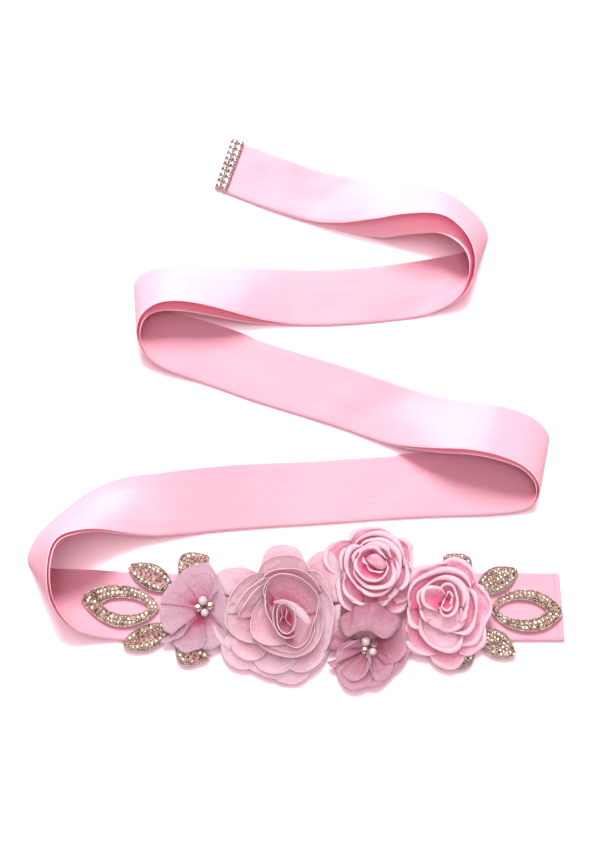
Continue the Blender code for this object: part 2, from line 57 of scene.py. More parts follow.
# Route of the ribbon's front edge, from the tail to the folded front end, in mm and degrees
SECTIONS = (
    # x, y, z, yaw, dip, slack
    (-56.0, 165.4, 1.15, 15, 0, 0),
    (-8.0, 144.5, 1.15, 19, 0, 0),
    (7.0, 139.3, 1.6, 16, 0.5, -2),
    (26.0, 134.5, 7.0, 12, 8, -9),
    (50.5, 132.0, 18.5, 11, 23, -14),
    (72.5, 131.0, 25.5, 12, 32, -13),
    (89.0, 127.5, 28.5, 13, 37, -11),
    (101.3, 117.0, 27.8, 18, 38, -7),
    (107.5, 102.5, 23.8, 22, 34, -3),
    (106.8, 91.0, 18.5, 20, 25.5, -1.5),
    (103.5, 84.0, 13.0, 16, 17, -1),
    (91.5, 76.3, 6.0, 10, 7, 0),
    (78.0, 72.0, 2.4, 5, 1.8, 0),
    (60.0, 69.0, 1.15, 2, 0, 0),
    (0.0, 65.2, 1.15, 0, 0, 0),
    (-18.7, 66.0, 4.5, -1, 4.8, 3),
    (-34.3, 67.0, 10.0, -4, 12.5, 5),
    (-57.5, 70.2, 18.0, -9, 24, 6),
    (-75.0, 71.5, 21.0, -14, 27, 6),
    (-90.0, 67.8, 21.5, -17, 30, 4),
    (-95.9, 62.0, 21.0, -13, 30, 2),
    (-98.5, 54.5, 18.5, -9, 25.5, 1),
    (-98.3, 48.3, 15.5, -6, 21, 0.5),
    (-94.3, 41.5, 10.5, -2, 13.5, 0),
    (-86.5, 35.5, 6.0, 5, 7, 0),
    (-74.8, 30.8, 3.3, 11, 3, 0),
    (-60.0, 26.0, 1.5, 16, 0.4, 0),
    (-36.5, 17.0, 1.15, 19, 0, 0),
    (30.0, -6.0, 1.15, 19, 0, 0),
    (52.0, -14.7, 3.3, 18, 2.8, -1),
    (66.5, -19.2, 8.8, 15, 10, -2),
    (82.0, -22.5, 15.5, 14, 18, -3),
    (98.3, -25.0, 19.3, 15, 21, -3),
    (114.0, -28.3, 19.5, 15, 20, -3),
    (124.4, -32.0, 18.8, 17, 20, -2),
    (132.0, -36.5, 17.5, 18, 20.5, -1.5),
    (136.3, -41.0, 15.8, 17, 20, -1),
    (138.5, -46.5, 13.0, 16, 17, -0.5),
    (137.6, -51.7, 8.7, 14, 10.5, 0),
    (131.6, -56.0, 3.6, 10, 3.5, 0),
    (121.3, -58.0, 1.6, 5, 0.6, 0),
    (82.0, -59.7, 1.15, 0, 0, 0),
    (10.5, -64.3, 1.15, -2, 0, 0),
    (-57.0, -69.7, 1.3, -2, -6, 0),
    (-86.5, -73.2, 6.5, -4, 4, 0),
    (-105.0, -74.0, 18.0, -14, 24.5, 0.5),
    (-116.3, -75.5, 27.0, -22, 40, 0.7),
    (-126.0, -78.5, 32.7, -35, 52, 0.7),
    (-132.8, -82.0, 34.7, -48, 57, 0.7),
    (-136.3, -87.0, 35.0, -56, 57.8, 0.7),
    (-138.0, -95.0, 34.2, -55, 55.8, 0.6),
    (-138.4, -104.5, 31.5, -45, 49.5, 0.5),
    (-136.7, -115.0, 26.7, -35, 39.8, 0.3),
    (-132.3, -123.3, 20.6, -23, 29.2, 0.1),
    (-125.3, -129.0, 12.9, -13, 17.1, 0),
    (-115.0, -131.5, 6.0, -6, 7, 0),
    (-104.0, -132.6, 2.2, -2, 1.5, 0),
    (-90.0, -132.9, 1.15, 0, 0, 0),
    (0.0, -132.9, 1.15, 0, 0, 0),
    (148.3, -132.9, 1.15, 0, 0, 0),
)

# Soft ridges and troughs of the satin, in mm along the run and shares across it
CREASES = (
    # start, start across, end, end across, width, depth
    (80, 0.10, 122, 0.90, 7, 0.55),
    (112, 0.05, 129, 0.85, 6, -0.4),
    (50, 0.05, 92, 0.00, 10, 0.8),
    (14, 0.90, 20, 0.75, 6, 0.6),
    (39, 1.00, 45, 0.85, 5, 0.45),
    (78, 0.90, 70, 0.70, 6, 0.4),
    (353, 0.30, 353, 1.00, 10, -0.4),
    (324, 0.90, 318, 0.60, 9, 0.25),
    (299, 0.30, 303, 0.00, 7, 0.25),
    (262, 0.00, 228, 0.15, 9, 0.8),
    (565, 0.10, 585, 1.00, 10, 0.5),
    (588, 0.10, 612, 0.50, 10, 0.5),
    (634, 0.10, 647, 0.95, 9, -0.35),
    (662, 0.00, 660, 1.00, 8, 0.35),
    (818, 0.00, 793, 0.60, 6, 0.22),
    (858, 0.00, 849, 1.00, 10, 0.25),
    (917, 0.00, 917, 1.00, 10, -0.2),
)
RIPPLES = (
    # wave length in mm, slant, shift, depth in mm
    (47.0, 0.6, 0.3, 0.05),
    (31.0, -0.9, 1.7, 0.03),
    (83.0, 0.3, 4.0, 0.08),
)
# How far a crease runs out beyond its ends, in its own widths
CREASE_END = 1.3

# The camera: pixels of the photograph's long side, its lens in pixels, its tilt and distance
FRAME_HEIGHT = 846
LENS_PIXELS = 1212
CAMERA_TILT = math.radians(68.0)
CAMERA_DISTANCE = 0.7335
SENSOR = 36.0

# The light that comes from all round
WORLD_STRENGTH = 0.20
WORLD_TINT = (1.0, 0.62, 0.72)
# The lights, with directions in degrees round from the back and up. Each reaches only the things
# named, or all but them.
WHITE = (1.0, 1.0, 1.0)
LIGHTS = (
    # name, direction, distance, size, power, colour, reach, things
    ("key_light", (-6.0, 40.0), 4.5, 1.6, 95.0, WHITE, "EXCLUDE", ("floor",)),
    ("floor_light", (0.0, 60.0), 4.5, 1.5, 240.0, WHITE, "INCLUDE", ("floor",)),
    ("ribbon_light", (-6.0, 40.0), 4.5, 1.6, 350.0, WHITE, "INCLUDE", ("ribbon",)),
    ("ribbon_fill", (180.0, 67.0), 4.0, 1.8, 60.0, WHITE, "INCLUDE", ("ribbon",)),
    ("top_light", (-8.0, 76.0), 3.5, 3.0, 98.0, WHITE, "EXCLUDE", ("floor", "ribbon")),
    ("front_light", (180.0, 67.0), 4.0, 1.8, 74.0, WHITE, "EXCLUDE", ("floor", "ribbon")),
    ("sheen_light", (0.0, 13.0), 3.0, 1.8, 64.0, WHITE, "EXCLUDE", ("floor",)),
    ("rosy_light", (0.0, 88.0), 3.0, 4.0, 42.0, (1.0, 0.45, 0.58), "EXCLUDE", ()),
    ("shade_light", (0.0, 88.0), 3.0, 4.0, 190.0, (1.0, 0.72, 0.79), "INCLUDE", ("floor",)),
)
# The floor's half side in metres, and its paper
FLOOR_EDGE = 30.0
FLOOR_TINT = (0.93, 0.93, 0.93)

# The visible ribbon
RIBBON_STEP = 1.9 * MM
RIBBON_COLUMNS = 18
RIBBON_THICKNESS = 0.5 * MM
# How much its columns crowd towards the edges, and how thin it is there
EDGE_CROWDING = 0.35
EDGE_THINNESS = 0.55
FOLD_ROWS = 8
# The satin's two tints, and the light that comes through it
RIBBON_TINTS = ((0.79, 0.48, 0.57), (0.84, 0.54, 0.62))
RIBBON_GLOW = (1.0, 0.46, 0.60)
# The pale selvedges' width: the woven edges' own paler tone, brightened as a painted highlight
# along both edges. Their tint is also used for the painted light inside the first turn.
SELVEDGE = 1.1 * MM
SELVEDGE_AND_PAINTED_LIGHT_TINT = (0.97, 0.87, 0.91)
# The seam across the ribbon near its folded end
SEAM_INSET = 2.6 * MM
SEAM_WIDTH = 0.8 * MM
SEAM_TINT = (0.62, 0.27, 0.37)
# Painted light: where the lower run's upper face is painted paler inside the first turn, as if lit
# there: start, stop and fade along the run in mm. Across the run the paleness is the first number
# less the second for a full width.
PAINTED_LIGHT_STRETCH = (62.0, 178.0, 14.0)
PAINTED_LIGHT_ACROSS = (1.6, 2.4)

# Where each flower's middle lies, in mm, and its cloth
FLOWERS = {
    "big_rose": (-12.0, -117.5, "chiffon"),
    "top_rose": (40.0, -92.0, "rose"),
    "right_rose": (82.5, -118.0, "rose"),
    "left_bloom": (-54.0, -115.5, "lilac"),
    "front_bloom": (38.5, -137.5, "dusky"),
}

# The petals of each tier: a form, the radius of the rolled rim in mm, the root as one point or
# several, and the rim's points, all in mm from the flower's middle
PETALS = {
    "big_rose_outer_petals": (
        ("flat", 0.5, (0.7, 9.7, 3.6), (-11.4, 23, 7), (-9.7, 29.8, 8), (-6.4, 36.3, 8),
         (-1.2, 38.6, 8), (5.1, 38.1, 8), (10.9, 36.3, 8), (14.3, 30.9, 8), (17.1, 24.7, 7)),
        ("flat", 0.5, (-8.3, 6.4, 3.6), (-36.8, 11.6, 6), (-37, 19.1, 6), (-33.7, 24.4, 6),
         (-26.9, 25.5, 6.5), (-19.4, 25.3, 7), (-12.5, 22.4, 7)),
        ("flat", 0.5, (-10.3, -1.6, 3.6), (-35.7, 11.6, 6), (-37.8, 4.1, 6), (-36.9, -5.7, 6),
         (-33.3, -15.8, 6), (-27.6, -21.5, 6)),
        ("flat", 0.5, (-7, -7.8, 3.4), (-32.3, -14.6, 5.5), (-31.5, -22.4, 5), (-28, -28.5, 5),
         (-22.4, -31.8, 5), (-15.8, -31.3, 5), (-10.8, -27.5, 5.5)),
        ("flat", 0.5, (-1.8, -10.1, 3.2), (-19.7, -29, 4.5), (-13, -33.4, 4.5), (-5.7, -36.2, 4.5),
         (1.5, -36.2, 4.5), (7.6, -32.8, 4.5)),
        ("flat", 0.5, (2.5, -10.7, 3), (-4.7, -33.9, 4.2), (-0.2, -38.3, 4.2), (6.5, -40, 4.2),
         (12.6, -38.3, 4.2), (17, -34, 4.5), (19.2, -28.5, 5)),
        ("flat", 0.5, (6.6, -7.8, 3.4), (10.9, -31.3, 5), (18.1, -32.9, 5), (24.2, -29.1, 5),
         (27.6, -22.4, 5), (28.8, -14.6, 5.5)),
        ("flat", 0.5, (9.5, -3.1, 3.6), (27, -24.2, 6), (31, -15.8, 6), (33.9, -5.7, 6),
         (35.2, 4.6, 6)),
        ("flat", 0.5, (8.5, 7.4, 3.6), (13.7, 25.3, 7), (18.9, 32.4, 7), (25.8, 35.4, 7),
         (31.5, 32.4, 7), (35.4, 25.3, 7), (37, 15.4, 7), (35.8, 5.8, 6)),
    ),
    "big_rose_second_petals": (
        ("bowl", 0.5, (0.7, 5, 5), (-12.9, 17, 12), (-10.1, 24.9, 13), (-3.9, 30.1, 13),
         (3.5, 31.3, 13), (10.9, 30.1, 13), (16.5, 24.9, 13), (19.9, 17.6, 12)),
        ("bowl", 0.5, (-4.2, 2.3, 5), (-28.4, -2, 10), (-27.9, 5.7, 11), (-23.5, 13.5, 12),
         (-16.8, 19.2, 12.5), (-8.9, 21.4, 13)),
        ("bowl", 0.5, (-4.8, -1.8, 5), (-26.8, 5.2, 11), (-29.5, -1, 10.5), (-29.3, -8.3, 10),
         (-25.9, -13.1, 9), (-19.7, -17, 9), (-11.9, -18.7, 9)),
        ("bowl", 0.5, (-3.5, -4.6, 5), (-27, -14.7, 8.5), (-25.8, -20.7, 8), (-21.3, -25.8, 8),
         (-15.7, -27.4, 8), (-10.2, -26.3, 8), (-6.3, -22.1, 9)),
        ("bowl", 0.5, (-0.3, -6.2, 5), (-14.1, -27.8, 7), (-7.9, -33.3, 7), (-0.7, -35, 7),
         (5.4, -32.3, 7.5), (9.2, -27, 8.5)),
        ("bowl", 0.5, (3.2, -5.6, 5), (2, -28, 8), (7.6, -32.4, 8), (14.2, -34, 8), (20.8, -31.3, 8),
         (25.3, -25.3, 8.5), (27, -18.3, 9.5)),
        ("bowl", 0.5, (5.5, -0.9, 5), (25.9, -23.4, 10), (29.2, -14.7, 11), (30.4, -3.6, 12),
         (28.8, 5.9, 12.5), (23.8, 14.4, 13)),
        ("bowl", 0.5, (4.6, 3.3, 5), (14.8, 22.5, 13), (21.6, 21.4, 13), (26.7, 15.7, 12.5),
         (29.4, 7.2, 12)),
    ),
    "big_rose_third_petals": (
        ("cup", 0.5, (0.6, 1.7, 7), (-10.4, 13.5, 16.5), (-7.1, 18.3, 18), (0.8, 21.6, 18.5),
         (10.9, 21, 18.5), (18.7, 16, 18), (23.7, 8.7, 17.5)),
        ("bowl", 0.6, (-1.6, 0.9, 7), (-25.3, -2.4, 14), (-22.1, 4.2, 15), (-16, 10.8, 16),
         (-9.9, 15.7, 17), (-4.8, 17.3, 17.5)),
        ("bowl", 0.6, (-1.6, 0.5, 7), (-23.7, -5, 13), (-19.8, 1.5, 14.5), (-14.3, 8, 15.5),
         (-7.6, 14, 17)),
        ("fold", 0.5, (-0.9, -1.1, 11.5), (-9.2, 5.4, 17), (-13.6, -1.8, 16.5), (-15.7, -9, 16),
         (-14.5, -15.1, 15.5), (-10.1, -18.8, 15), (-3.4, -20.5, 15), (4.8, -19.5, 15.5)),
        ("fold", 0.5, (0.9, -1.8, 8.5), (-14, -17.7, 12), (-7.9, -22.7, 12), (-0.1, -26, 12),
         (8.7, -26.6, 12.5), (16.4, -23.4, 13), (21.4, -17.5, 14), (24.2, -9.4, 15), (23.7, -0.6, 16)),
        ("fold", 0.5, (1, -1.9, 10), (-6.8, -20.3, 14), (1, -23.1, 14), (8.7, -24.3, 14.5),
         (15.3, -21.1, 15), (19.2, -15.2, 16), (20.9, -7, 17)),
    ),
    "big_rose_cup_petals": (
        ("wall", 0.4, (0, 0, 9), (-6.3, 1, 21), (-8, 8.1, 22), (-5.8, 13.5, 23), (0.9, 17.3, 24),
         (9.2, 16.7, 24), (16.4, 12.2, 24), (21.4, 5.1, 23), (21.9, -3.1, 22)),
        ("wall", 0.4, (0, 0, 9), (-5.2, 14.2, 22.5), (-7.4, 8.7, 22), (-7.4, 2, 21.5), (-5.1, -5.7, 21),
         (-1.7, -12.1, 20), (2.1, -15.9, 19.5)),
        ("wall", 0.4, (0, 0, 9), (22, 2.5, 22), (21.4, -5.1, 21), (18.6, -13.3, 20), (15.3, -19.1, 19),
         (9.8, -22.3, 18.5), (4.3, -20.1, 18.5)),
    ),
    "big_rose_heart": (
        ("wall", 0.4, (4.2, -5.2, 14), (4.3, 1.2, 25), (0.5, -1, 25), (-0.6, -7.1, 24.5),
         (0.5, -13, 24), (4.4, -15.8, 24), (7.6, -13.7, 24.5), (8.7, -7.7, 25), (7.1, -1.7, 25.5),
         (4.3, 0.4, 26)),
        ("wall", 0.4, (3.1, -5, 13), (-1.8, 2, 24), (-2.8, -4.6, 23.5), (-1.7, -11.1, 23),
         (1.6, -16.6, 22.5), (6, -18.2, 22.5), (9.8, -16, 22.5)),
        ("lip", 0.6, ((-2.2, 0.6, 23.3), (0.5, 0.5, 23.8), (3, 0.3, 24.2), (5.7, -1.4, 24.6),
         (8.2, -4, 24.6), (11.9, -7.7, 24.2), (17.2, -11.9, 23.2)), (-2.8, 1.4, 24.2), (-0.3, 2, 25),
         (2.9, 2.5, 25.6), (6.8, 1.7, 26.2), (10.9, -0.9, 26.2), (14.7, -4.4, 25.6),
         (18.1, -9.1, 24.2)),
        ("core", 0.5, (4.6, -5.4, 17), (1.4, -1.6, 22), (2.4, -4.2, 22), (1.9, -7.2, 22),
         (0.9, -9.7, 22)),
        ("core", 0.5, (6.8, -3.8, 17), (3.8, -1.1, 22.5), (4.9, -3.9, 22.5), (4.2, -7.1, 22.5),
         (5.4, -9.8, 22.5), (7.3, -11.7, 22.5)),
    ),
    "left_bloom_lower_petals": (
        ("pleat", 0.4, (-2.5, -2.4, 5.5), (-24.3, -18.4, 6), (-21.4, -19.6, 6.5), (-16.3, -18.2, 7.5),
         (-11.3, -15, 8.5), (-9.2, -9.6, 9.5)),
        ("pleat", 0.4, (-1.2, -3.2, 5.5), (-17.5, -18.5, 6.5), (-14.6, -22.3, 6), (-10.6, -24.6, 6),
         (-5.1, -23.6, 6.5), (-0.6, -22, 7), (2.1, -17.1, 8)),
        ("pleat", 0.4, (1, -2.7, 5.5), (-2.8, -21.5, 7.5), (1.6, -23.1, 7), (6.1, -22.5, 7),
         (9.9, -19.7, 7), (12.6, -14.8, 7.5), (13.6, -8.1, 8)),
    ),
    "left_bloom_upper_petals": (
        ("pleat", 0.4, (-0.2, 1.9, 6.5), (-16.3, 16.7, 10), (-11.9, 21.2, 10.5), (-5.7, 24, 11),
         (0.5, 25.2, 11), (4.6, 21.8, 10.5), (7, 15.5, 10), (7.7, 8.7, 9.5)),
        ("pleat", 0.4, (-2, 1, 6.5), (-13.5, 18.3, 10.5), (-19, 13.2, 10), (-22.8, 8.1, 9.5),
         (-24.3, 1.9, 9)),
        ("pleat", 0.4, (-2.2, -0.7, 6.5), (-23.2, 4.7, 9.5), (-25.2, -2.1, 9), (-23.9, -8.2, 8.5),
         (-20.9, -13.2, 8), (-16.9, -15.5, 8)),
        ("pleat", 0.4, (1.1, 0.3, 6.5), (13.8, -15, 8.5), (13.1, -5.6, 9.5), (11.8, 4.5, 10),
         (9.3, 12.6, 10), (5.8, 18.3, 10.5)),
    ),
    "front_bloom_lower_petals": (
        ("pleat", 0.4, (-2.9, 0.8, 5), (-24, -1.7, 7), (-24, 3.7, 8), (-21.2, 8, 9), (-15.6, 10.1, 10),
         (-11.2, 7.8, 10)),
        ("pleat", 0.4, (-2.6, -0.6, 5), (-23.5, -8.1, 6), (-19.6, -11.5, 6), (-18.5, -5, 7),
         (-15.1, 0.8, 8.5), (-10.1, 3.4, 9.5)),
        ("pleat", 0.4, (-1.3, -2.6, 4.5), (-19.1, -8.1, 6), (-17.5, -15.8, 5.5), (-11.5, -21.8, 5.5),
         (-4.3, -22.9, 5.5), (0.1, -19.7, 6), (1.8, -15, 7)),
        ("pleat", 0.4, (1.3, -2.2, 4.5), (-2.1, -21.3, 5.5), (5.6, -20.3, 6), (11.8, -16.4, 6),
         (15.3, -9.9, 6.5), (14.3, -4, 7.5)),
        ("pleat", 0.4, (2.9, -0.5, 4.8), (11.3, -14.8, 6), (17.5, -10.4, 6), (21.6, -3.8, 6.5),
         (23.4, 2.7, 7.5), (21.3, 8.1, 8.5)),
    ),
    "front_bloom_upper_petals": (
        ("pleat", 0.4, (-1.3, -0.2, 6.5), (-18.6, -9.6, 8), (-15.8, -2.7, 9.5), (-10.7, 1.5, 10.5),
         (-6.3, 3.1, 11)),
        ("pleat", 0.4, (-0.6, -1.3, 6), (-16.4, -13.9, 7.5), (-9.8, -18.3, 7.5), (-3.2, -16.2, 8),
         (0.2, -11.5, 9), (-2, -5.6, 10)),
        ("pleat", 0.4, (0.7, -1.2, 6), (0.1, -12, 9), (3.4, -18.3, 7.5), (10.1, -16.1, 7.5),
         (12.9, -9.7, 8.5), (9.1, -3.4, 10)),
        ("pleat", 0.4, (1.6, 0.2, 6.5), (7.9, -9.8, 9), (15.2, -8.2, 9), (19.8, -2.2, 9.5),
         (21.1, 5, 10), (19, 12.1, 11), (14.5, 14.1, 12)),
        ("visor", 1, ((-14.4, 16.2, 8), (-9.8, 19.9, 9), (-4.8, 22.5, 10), (0.3, 23.1, 10)),
         (-17.3, 13.6, 12), (-15.8, 8.6, 14), (-11.4, 4.6, 14.5), (-7, 6.1, 15.5), (-2, 8.2, 16),
         (2, 11.2, 15)),
        ("visor", 1, ((-4.2, 22.1, 9.5), (1.4, 23.1, 10), (7.6, 22, 10), (12.6, 18.8, 9),
         (17, 14.5, 8)), (-9.1, 11.4, 14), (-4.8, 7.7, 15.5), (0.2, 7, 16.5), (5.1, 4.3, 16),
         (10.7, 3.9, 15), (14.7, 6.9, 14), (18.3, 11.3, 12)),
    ),
    "top_rose_outer_petals": (
        ("bowl", 0.9, (0.6, 5.6, 4), (-13, 13.1, 8), (-8.3, 19.6, 8.5), (-0.2, 23, 9), (6.1, 22.4, 9),
         (11.2, 18.8, 9), (15.7, 14.2, 8.5)),
        ("bowl", 0.9, (6, 3, 4), (13, 16.1, 8), (18.7, 15.4, 8.5), (22.6, 11.8, 8.5), (24.1, 6.6, 8),
         (22.2, -0.5, 8)),
        ("bowl", 0.9, (-5.8, 1.8, 4), (-16.1, -6, 7), (-21.2, -2.1, 7.5), (-24.6, 3.7, 8),
         (-23.9, 10.6, 8.5), (-19.3, 14.6, 9), (-11.3, 15.2, 9)),
        ("bowl", 0.9, (6.2, -2.9, 4), (21.1, 4, 9), (23.8, -2.3, 8.5), (23.6, -10.4, 8),
         (20.5, -17.3, 8), (14.1, -21.9, 8)),
        ("bowl", 0.9, (-3.9, -5.1, 4), (-17.2, -2.8, 8), (-17.3, -12.1, 8), (-15.7, -20.6, 7.5),
         (-10.7, -24.7, 7.5), (-4, -25.2, 7.5)),
        ("bowl", 0.9, (2.8, -6.9, 3.8), (-5, -23.3, 6.5), (2.9, -25.5, 6), (10.8, -25.5, 6),
         (17.6, -23.3, 6.5), (21.1, -17.6, 7)),
    ),
    "top_rose_middle_petals": (
        ("cup", 1.1, (0.6, 1.1, 8.5), (-11.5, 9.5, 12.5), (-7.5, 14.5, 13.5), (0.5, 17.2, 14.5),
         (7.9, 16, 14.5), (13.5, 11.8, 14.5), (17.9, 6.1, 14), (19.5, -0.8, 13.5)),
        ("cup", 1.1, (1.4, -0.8, 8.5), (14.7, 11, 13.5), (19, 3.9, 13.5), (20.5, -4.7, 13),
         (17.4, -13.8, 12.5), (11.1, -20, 12), (3.2, -22.8, 11.5)),
        ("cup", 1.1, (-1.2, -0.6, 8.5), (-9.2, 11, 13.5), (-14.4, 6.2, 13.5), (-16.8, -1.8, 13),
         (-16.3, -10.4, 12.5), (-12.5, -17.7, 12), (-5.2, -22.2, 11.5)),
        ("cup", 1.1, (-0.2, -1.9, 7), (-15.2, -11.7, 11), (-11.3, -19.8, 11), (-3.5, -23.2, 11),
         (5.4, -22.8, 11.5), (12.8, -18.3, 12)),
    ),
    "top_rose_inner_petals": (
        ("cup", 1.2, (0.3, 0.3, 12.5), (-8.3, 8.3, 16.5), (-4.8, 11.7, 17), (2, 12.7, 17.5),
         (8.7, 11, 17.5), (13.7, 6.3, 17.5), (15.8, -1.2, 17), (14.5, -9.6, 16)),
        ("cup", 1.2, (0.3, -0.5, 11.5), (14.8, 3.5, 17), (15.1, -5.1, 16.5), (12.7, -12.4, 16),
         (5.9, -16.9, 15.5), (-2.5, -16.9, 15.5), (-9.2, -13, 16)),
        ("cup", 1.2, (-0.4, -0.2, 11), (-4.3, 10.4, 17.5), (-10, 7.4, 17.5), (-12.9, 0.6, 17),
         (-12.5, -7.4, 16.5), (-8.6, -14, 15.5), (-1.9, -17.3, 15)),
        ("cup", 1.2, (0.1, -0.4, 12.5), (11.8, 1.3, 18.5), (12.2, -6.1, 18), (9.3, -11.7, 17.5),
         (2.5, -14.4, 17), (-4.7, -12.2, 17.5), (-9.2, -7.2, 18), (-10.2, -0.4, 18.5)),
        ("cup", 1.2, (0, 0.2, 12.5), (-9.7, -2.1, 18.5), (-9, 3.5, 19), (-5, 7.5, 19.5),
         (1.2, 9.2, 19.5), (7.9, 6.9, 19.5), (11.8, 2.4, 19)),
    ),
    "top_rose_coiled_heart": (
        ("wall", 0.75, (1, 1.9, 16.5), (8.8, 0.2, 20.5), (9.8, -4.9, 20), (6.9, -8.9, 20),
         (0.8, -10.5, 19.5), (-5.3, -7.7, 20), (-8.1, -2.1, 20.5), (-7.4, 3.5, 21)),
        ("wall", 0.75, (1, 1.9, 16.5), (-8, 0.8, 20.5), (-5.7, 5.3, 21), (-0.6, 6.9, 21.5),
         (5, 5.1, 21.5), (9.4, 1.2, 21)),
        ("wall", 0.6, (2.7, 2.2, 16.5), (-4.6, 2.5, 20.5), (-3, -2, 20), (1.4, -5.4, 20),
         (7, -6.1, 20.5)),
        ("dome", 0.7, (2.4, -0.8, 24), (-3.1, 2.2, 21.5), (-0.8, 4.1, 21.5), (2.9, 4.3, 21.5),
         (6.1, 2, 21.5), (8.4, -1.6, 21.5), (7, -4.6, 21.5), (3.7, -4.8, 21.5), (0.3, -3.3, 21.5),
         (-2.3, -0.8, 21.5), (-3.2, 2, 21.5)),
    ),
    "right_rose_outer_petals": (
        ("bowl", 0.9, (-3.5, 6.7, 6.5), (-20.3, 12.5, 9), (-18.4, 19.9, 9.5), (-13.7, 24.4, 10),
         (-6.8, 26.6, 10.5), (1.2, 27.8, 10.5)),
        ("bowl", 0.9, (2.4, 7.3, 6.5), (-5.1, 26.2, 10), (2.4, 29, 10.5), (9.7, 27.8, 10.5),
         (15.2, 23.1, 10.5), (17.7, 16.3, 10)),
        ("bowl", 0.9, (6.1, 1, 6.3), (15, 18, 10), (20.3, 12.2, 10), (23.9, 6.5, 10), (24.2, 0.3, 9.5),
         (21.7, -5.8, 9), (16.8, -12, 9)),
        ("bowl", 0.9, (4.6, -4.8, 5.5), (19.6, -3.5, 8.5), (20.3, -11.8, 8), (18.4, -18.5, 7.5),
         (12.6, -22.9, 7.5), (5.9, -23.5, 7.5)),
        ("bowl", 0.9, (-5.2, -5.1, 5), (-22.6, -5.8, 9), (-22.7, -13.5, 8), (-20.1, -20.1, 7.5),
         (-13.6, -22.9, 7.5), (-6.9, -23.5, 7.5)),
        ("bowl", 0.9, (-0.2, -8.1, 3.9), (-11.2, -23.1, 5.5), (-6.3, -27.5, 5.5), (-0.9, -30.3, 5.5),
         (5.3, -29.2, 5.5), (9.3, -24.3, 6)),
    ),
    "right_rose_middle_petals": (
        ("cup", 1.1, (-0.6, 1.3, 10), (-21.7, 0.7, 15), (-21.6, 8.4, 16), (-18, 14.6, 16.5),
         (-11.8, 18.5, 17), (-3.3, 20.7, 17.5), (5.1, 19.5, 17.5), (11.1, 15, 17), (14.1, 8.3, 16.5)),
        ("cup", 1.1, (1.1, -0.2, 10), (10, 13, 16), (14.2, 6.8, 15.5), (15.6, -0.4, 15),
         (13.6, -8.1, 14), (8.4, -12.5, 13.5), (1.8, -13.5, 13)),
        ("lap", 1.1, (-0.5, -1.5, 8.5), (-16.1, -4.4, 12.5), (-15.2, -12.1, 12), (-10.4, -18.2, 11.5),
         (-2.8, -21.5, 11.5), (4.4, -19.8, 11.5), (8.6, -13.3, 12)),
        ("cup", 1.1, (-1.9, -0.4, 7.5), (-20.9, 5.5, 14), (-22.2, -1.1, 13), (-19.5, -7.1, 12),
         (-14.6, -11.4, 11)),
        ("bowl", 1, (1.2, -1.5, 7), (1.9, -20.5, 9.5), (9.7, -18.9, 9.5), (16, -13.9, 10),
         (18.6, -7.3, 10.5)),
    ),
    "right_rose_inner_petals": (
        ("cup", 1.2, (-0.2, 0.4, 14), (-16, -0.2, 19), (-16.9, 5.9, 19.5), (-13.4, 11.4, 20),
         (-7.8, 15.3, 20.5), (-1, 16.4, 20.5), (5, 13, 20.5), (8.1, 6.9, 20), (7.8, 0.2, 19.5)),
        ("lap", 1.3, (-0.2, -0.3, 14), (-16.3, 2.5, 17), (-14.8, -4, 16), (-11, -9.5, 15.5),
         (-5, -12.2, 15), (1.6, -11.2, 15.5), (6.2, -6.3, 16), (7, -0.3, 17)),
        ("cup", 1.2, (0.4, 0.1, 14), (6.1, 11, 19.5), (9.7, 4.8, 19), (9.5, -2.3, 18), (6, -8.2, 17)),
    ),
    "right_rose_coiled_heart": (
        ("bowl", 0.75, (-4.8, 2.5, 17.5), (-6.6, -3.1, 20.5), (-9.9, -1.2, 21), (-12.9, 0.9, 21.5),
         (-14.3, 4.2, 22), (-13.1, 8.2, 22), (-9.5, 10.4, 22), (-5.3, 9.9, 22), (-2.2, 6.9, 21.5)),
        ("wall", 0.8, (-0.7, 5.2, 18), (-5.4, 8.1, 22), (-1.4, 11.9, 22.5), (2.4, 11.3, 22.5),
         (4.5, 6.9, 22), (4.3, 1.4, 21.5), (1.3, -3.5, 21), (-3.1, -5.1, 20.5), (-5.7, -0.7, 21)),
        ("bud", 0.45, (-0.2, 4.9, 18), (-2.2, 5.2, 22), (0.6, 8.5, 22.5), (2.2, 6.4, 22),
         (1.5, 2, 21.5), (-1.9, -1.8, 21), (-4.1, 0.3, 21.5), (-2.3, 4.7, 22)),
    ),
}

# How each form runs from root to rim: share of the way out, share of the rise and extra lift in mm
PETAL_FORMS = {
    "flat": ((0.35, 0.0, 0.0), (0.80, 0.90, 0.5)),
    "fold": ((0.60, 0.10, 0.0), (1.00, 0.60, 0.0)),
    "lap": ((0.60, 0.10, 0.0), (1.00, 0.60, 0.0)),
    "bowl": ((0.50, 0.0, 0.0), (0.92, 0.45, 0.0)),
    "cup": ((0.75, 0.0, 0.0), (1.06, 0.50, 0.0)),
    "wall": ((0.95, 0.05, 0.0), (1.03, 0.60, 0.0)),
    "pleat": ((0.35, 0.25, 0.0), (0.75, 0.90, 0.6)),
    "visor": ((-0.10, 0.50, 6.0), (0.60, 1.00, 4.5)),
    "bud": ((0.95, 0.10, 0.0), (1.10, 0.80, 0.6)),
    "core": ((0.80, 0.10, 0.0), (1.00, 0.60, 0.0)),
    "dome": ((0.45, -0.10, 0.0), (0.95, 0.25, 0.0)),
    "lip": ((0.30, 0.60, 0.3), (0.80, 1.10, 0.3)),
}
# Painted light and shade on the petals: how pale each form is already painted at its root, deep
# where shade gathers and pale where light falls on it
PALE_ROOTS = {
    "flat": 0.34, "fold": 0.40, "lap": 1.0, "bowl": 0.25, "cup": 0.20, "wall": 0.06,
    "visor": 0.15, "bud": 0.25, "dome": 0.62, "lip": 1.0,
}
# How pale the rims are painted, and those painted deep for the shade inside the heart
PALE_RIM = 0.95
DEEP_RIMS = {"core": 0.30}
# How much paler the roll is painted, as a painted highlight on the rolled rim
ROLL_PALER = 0.05

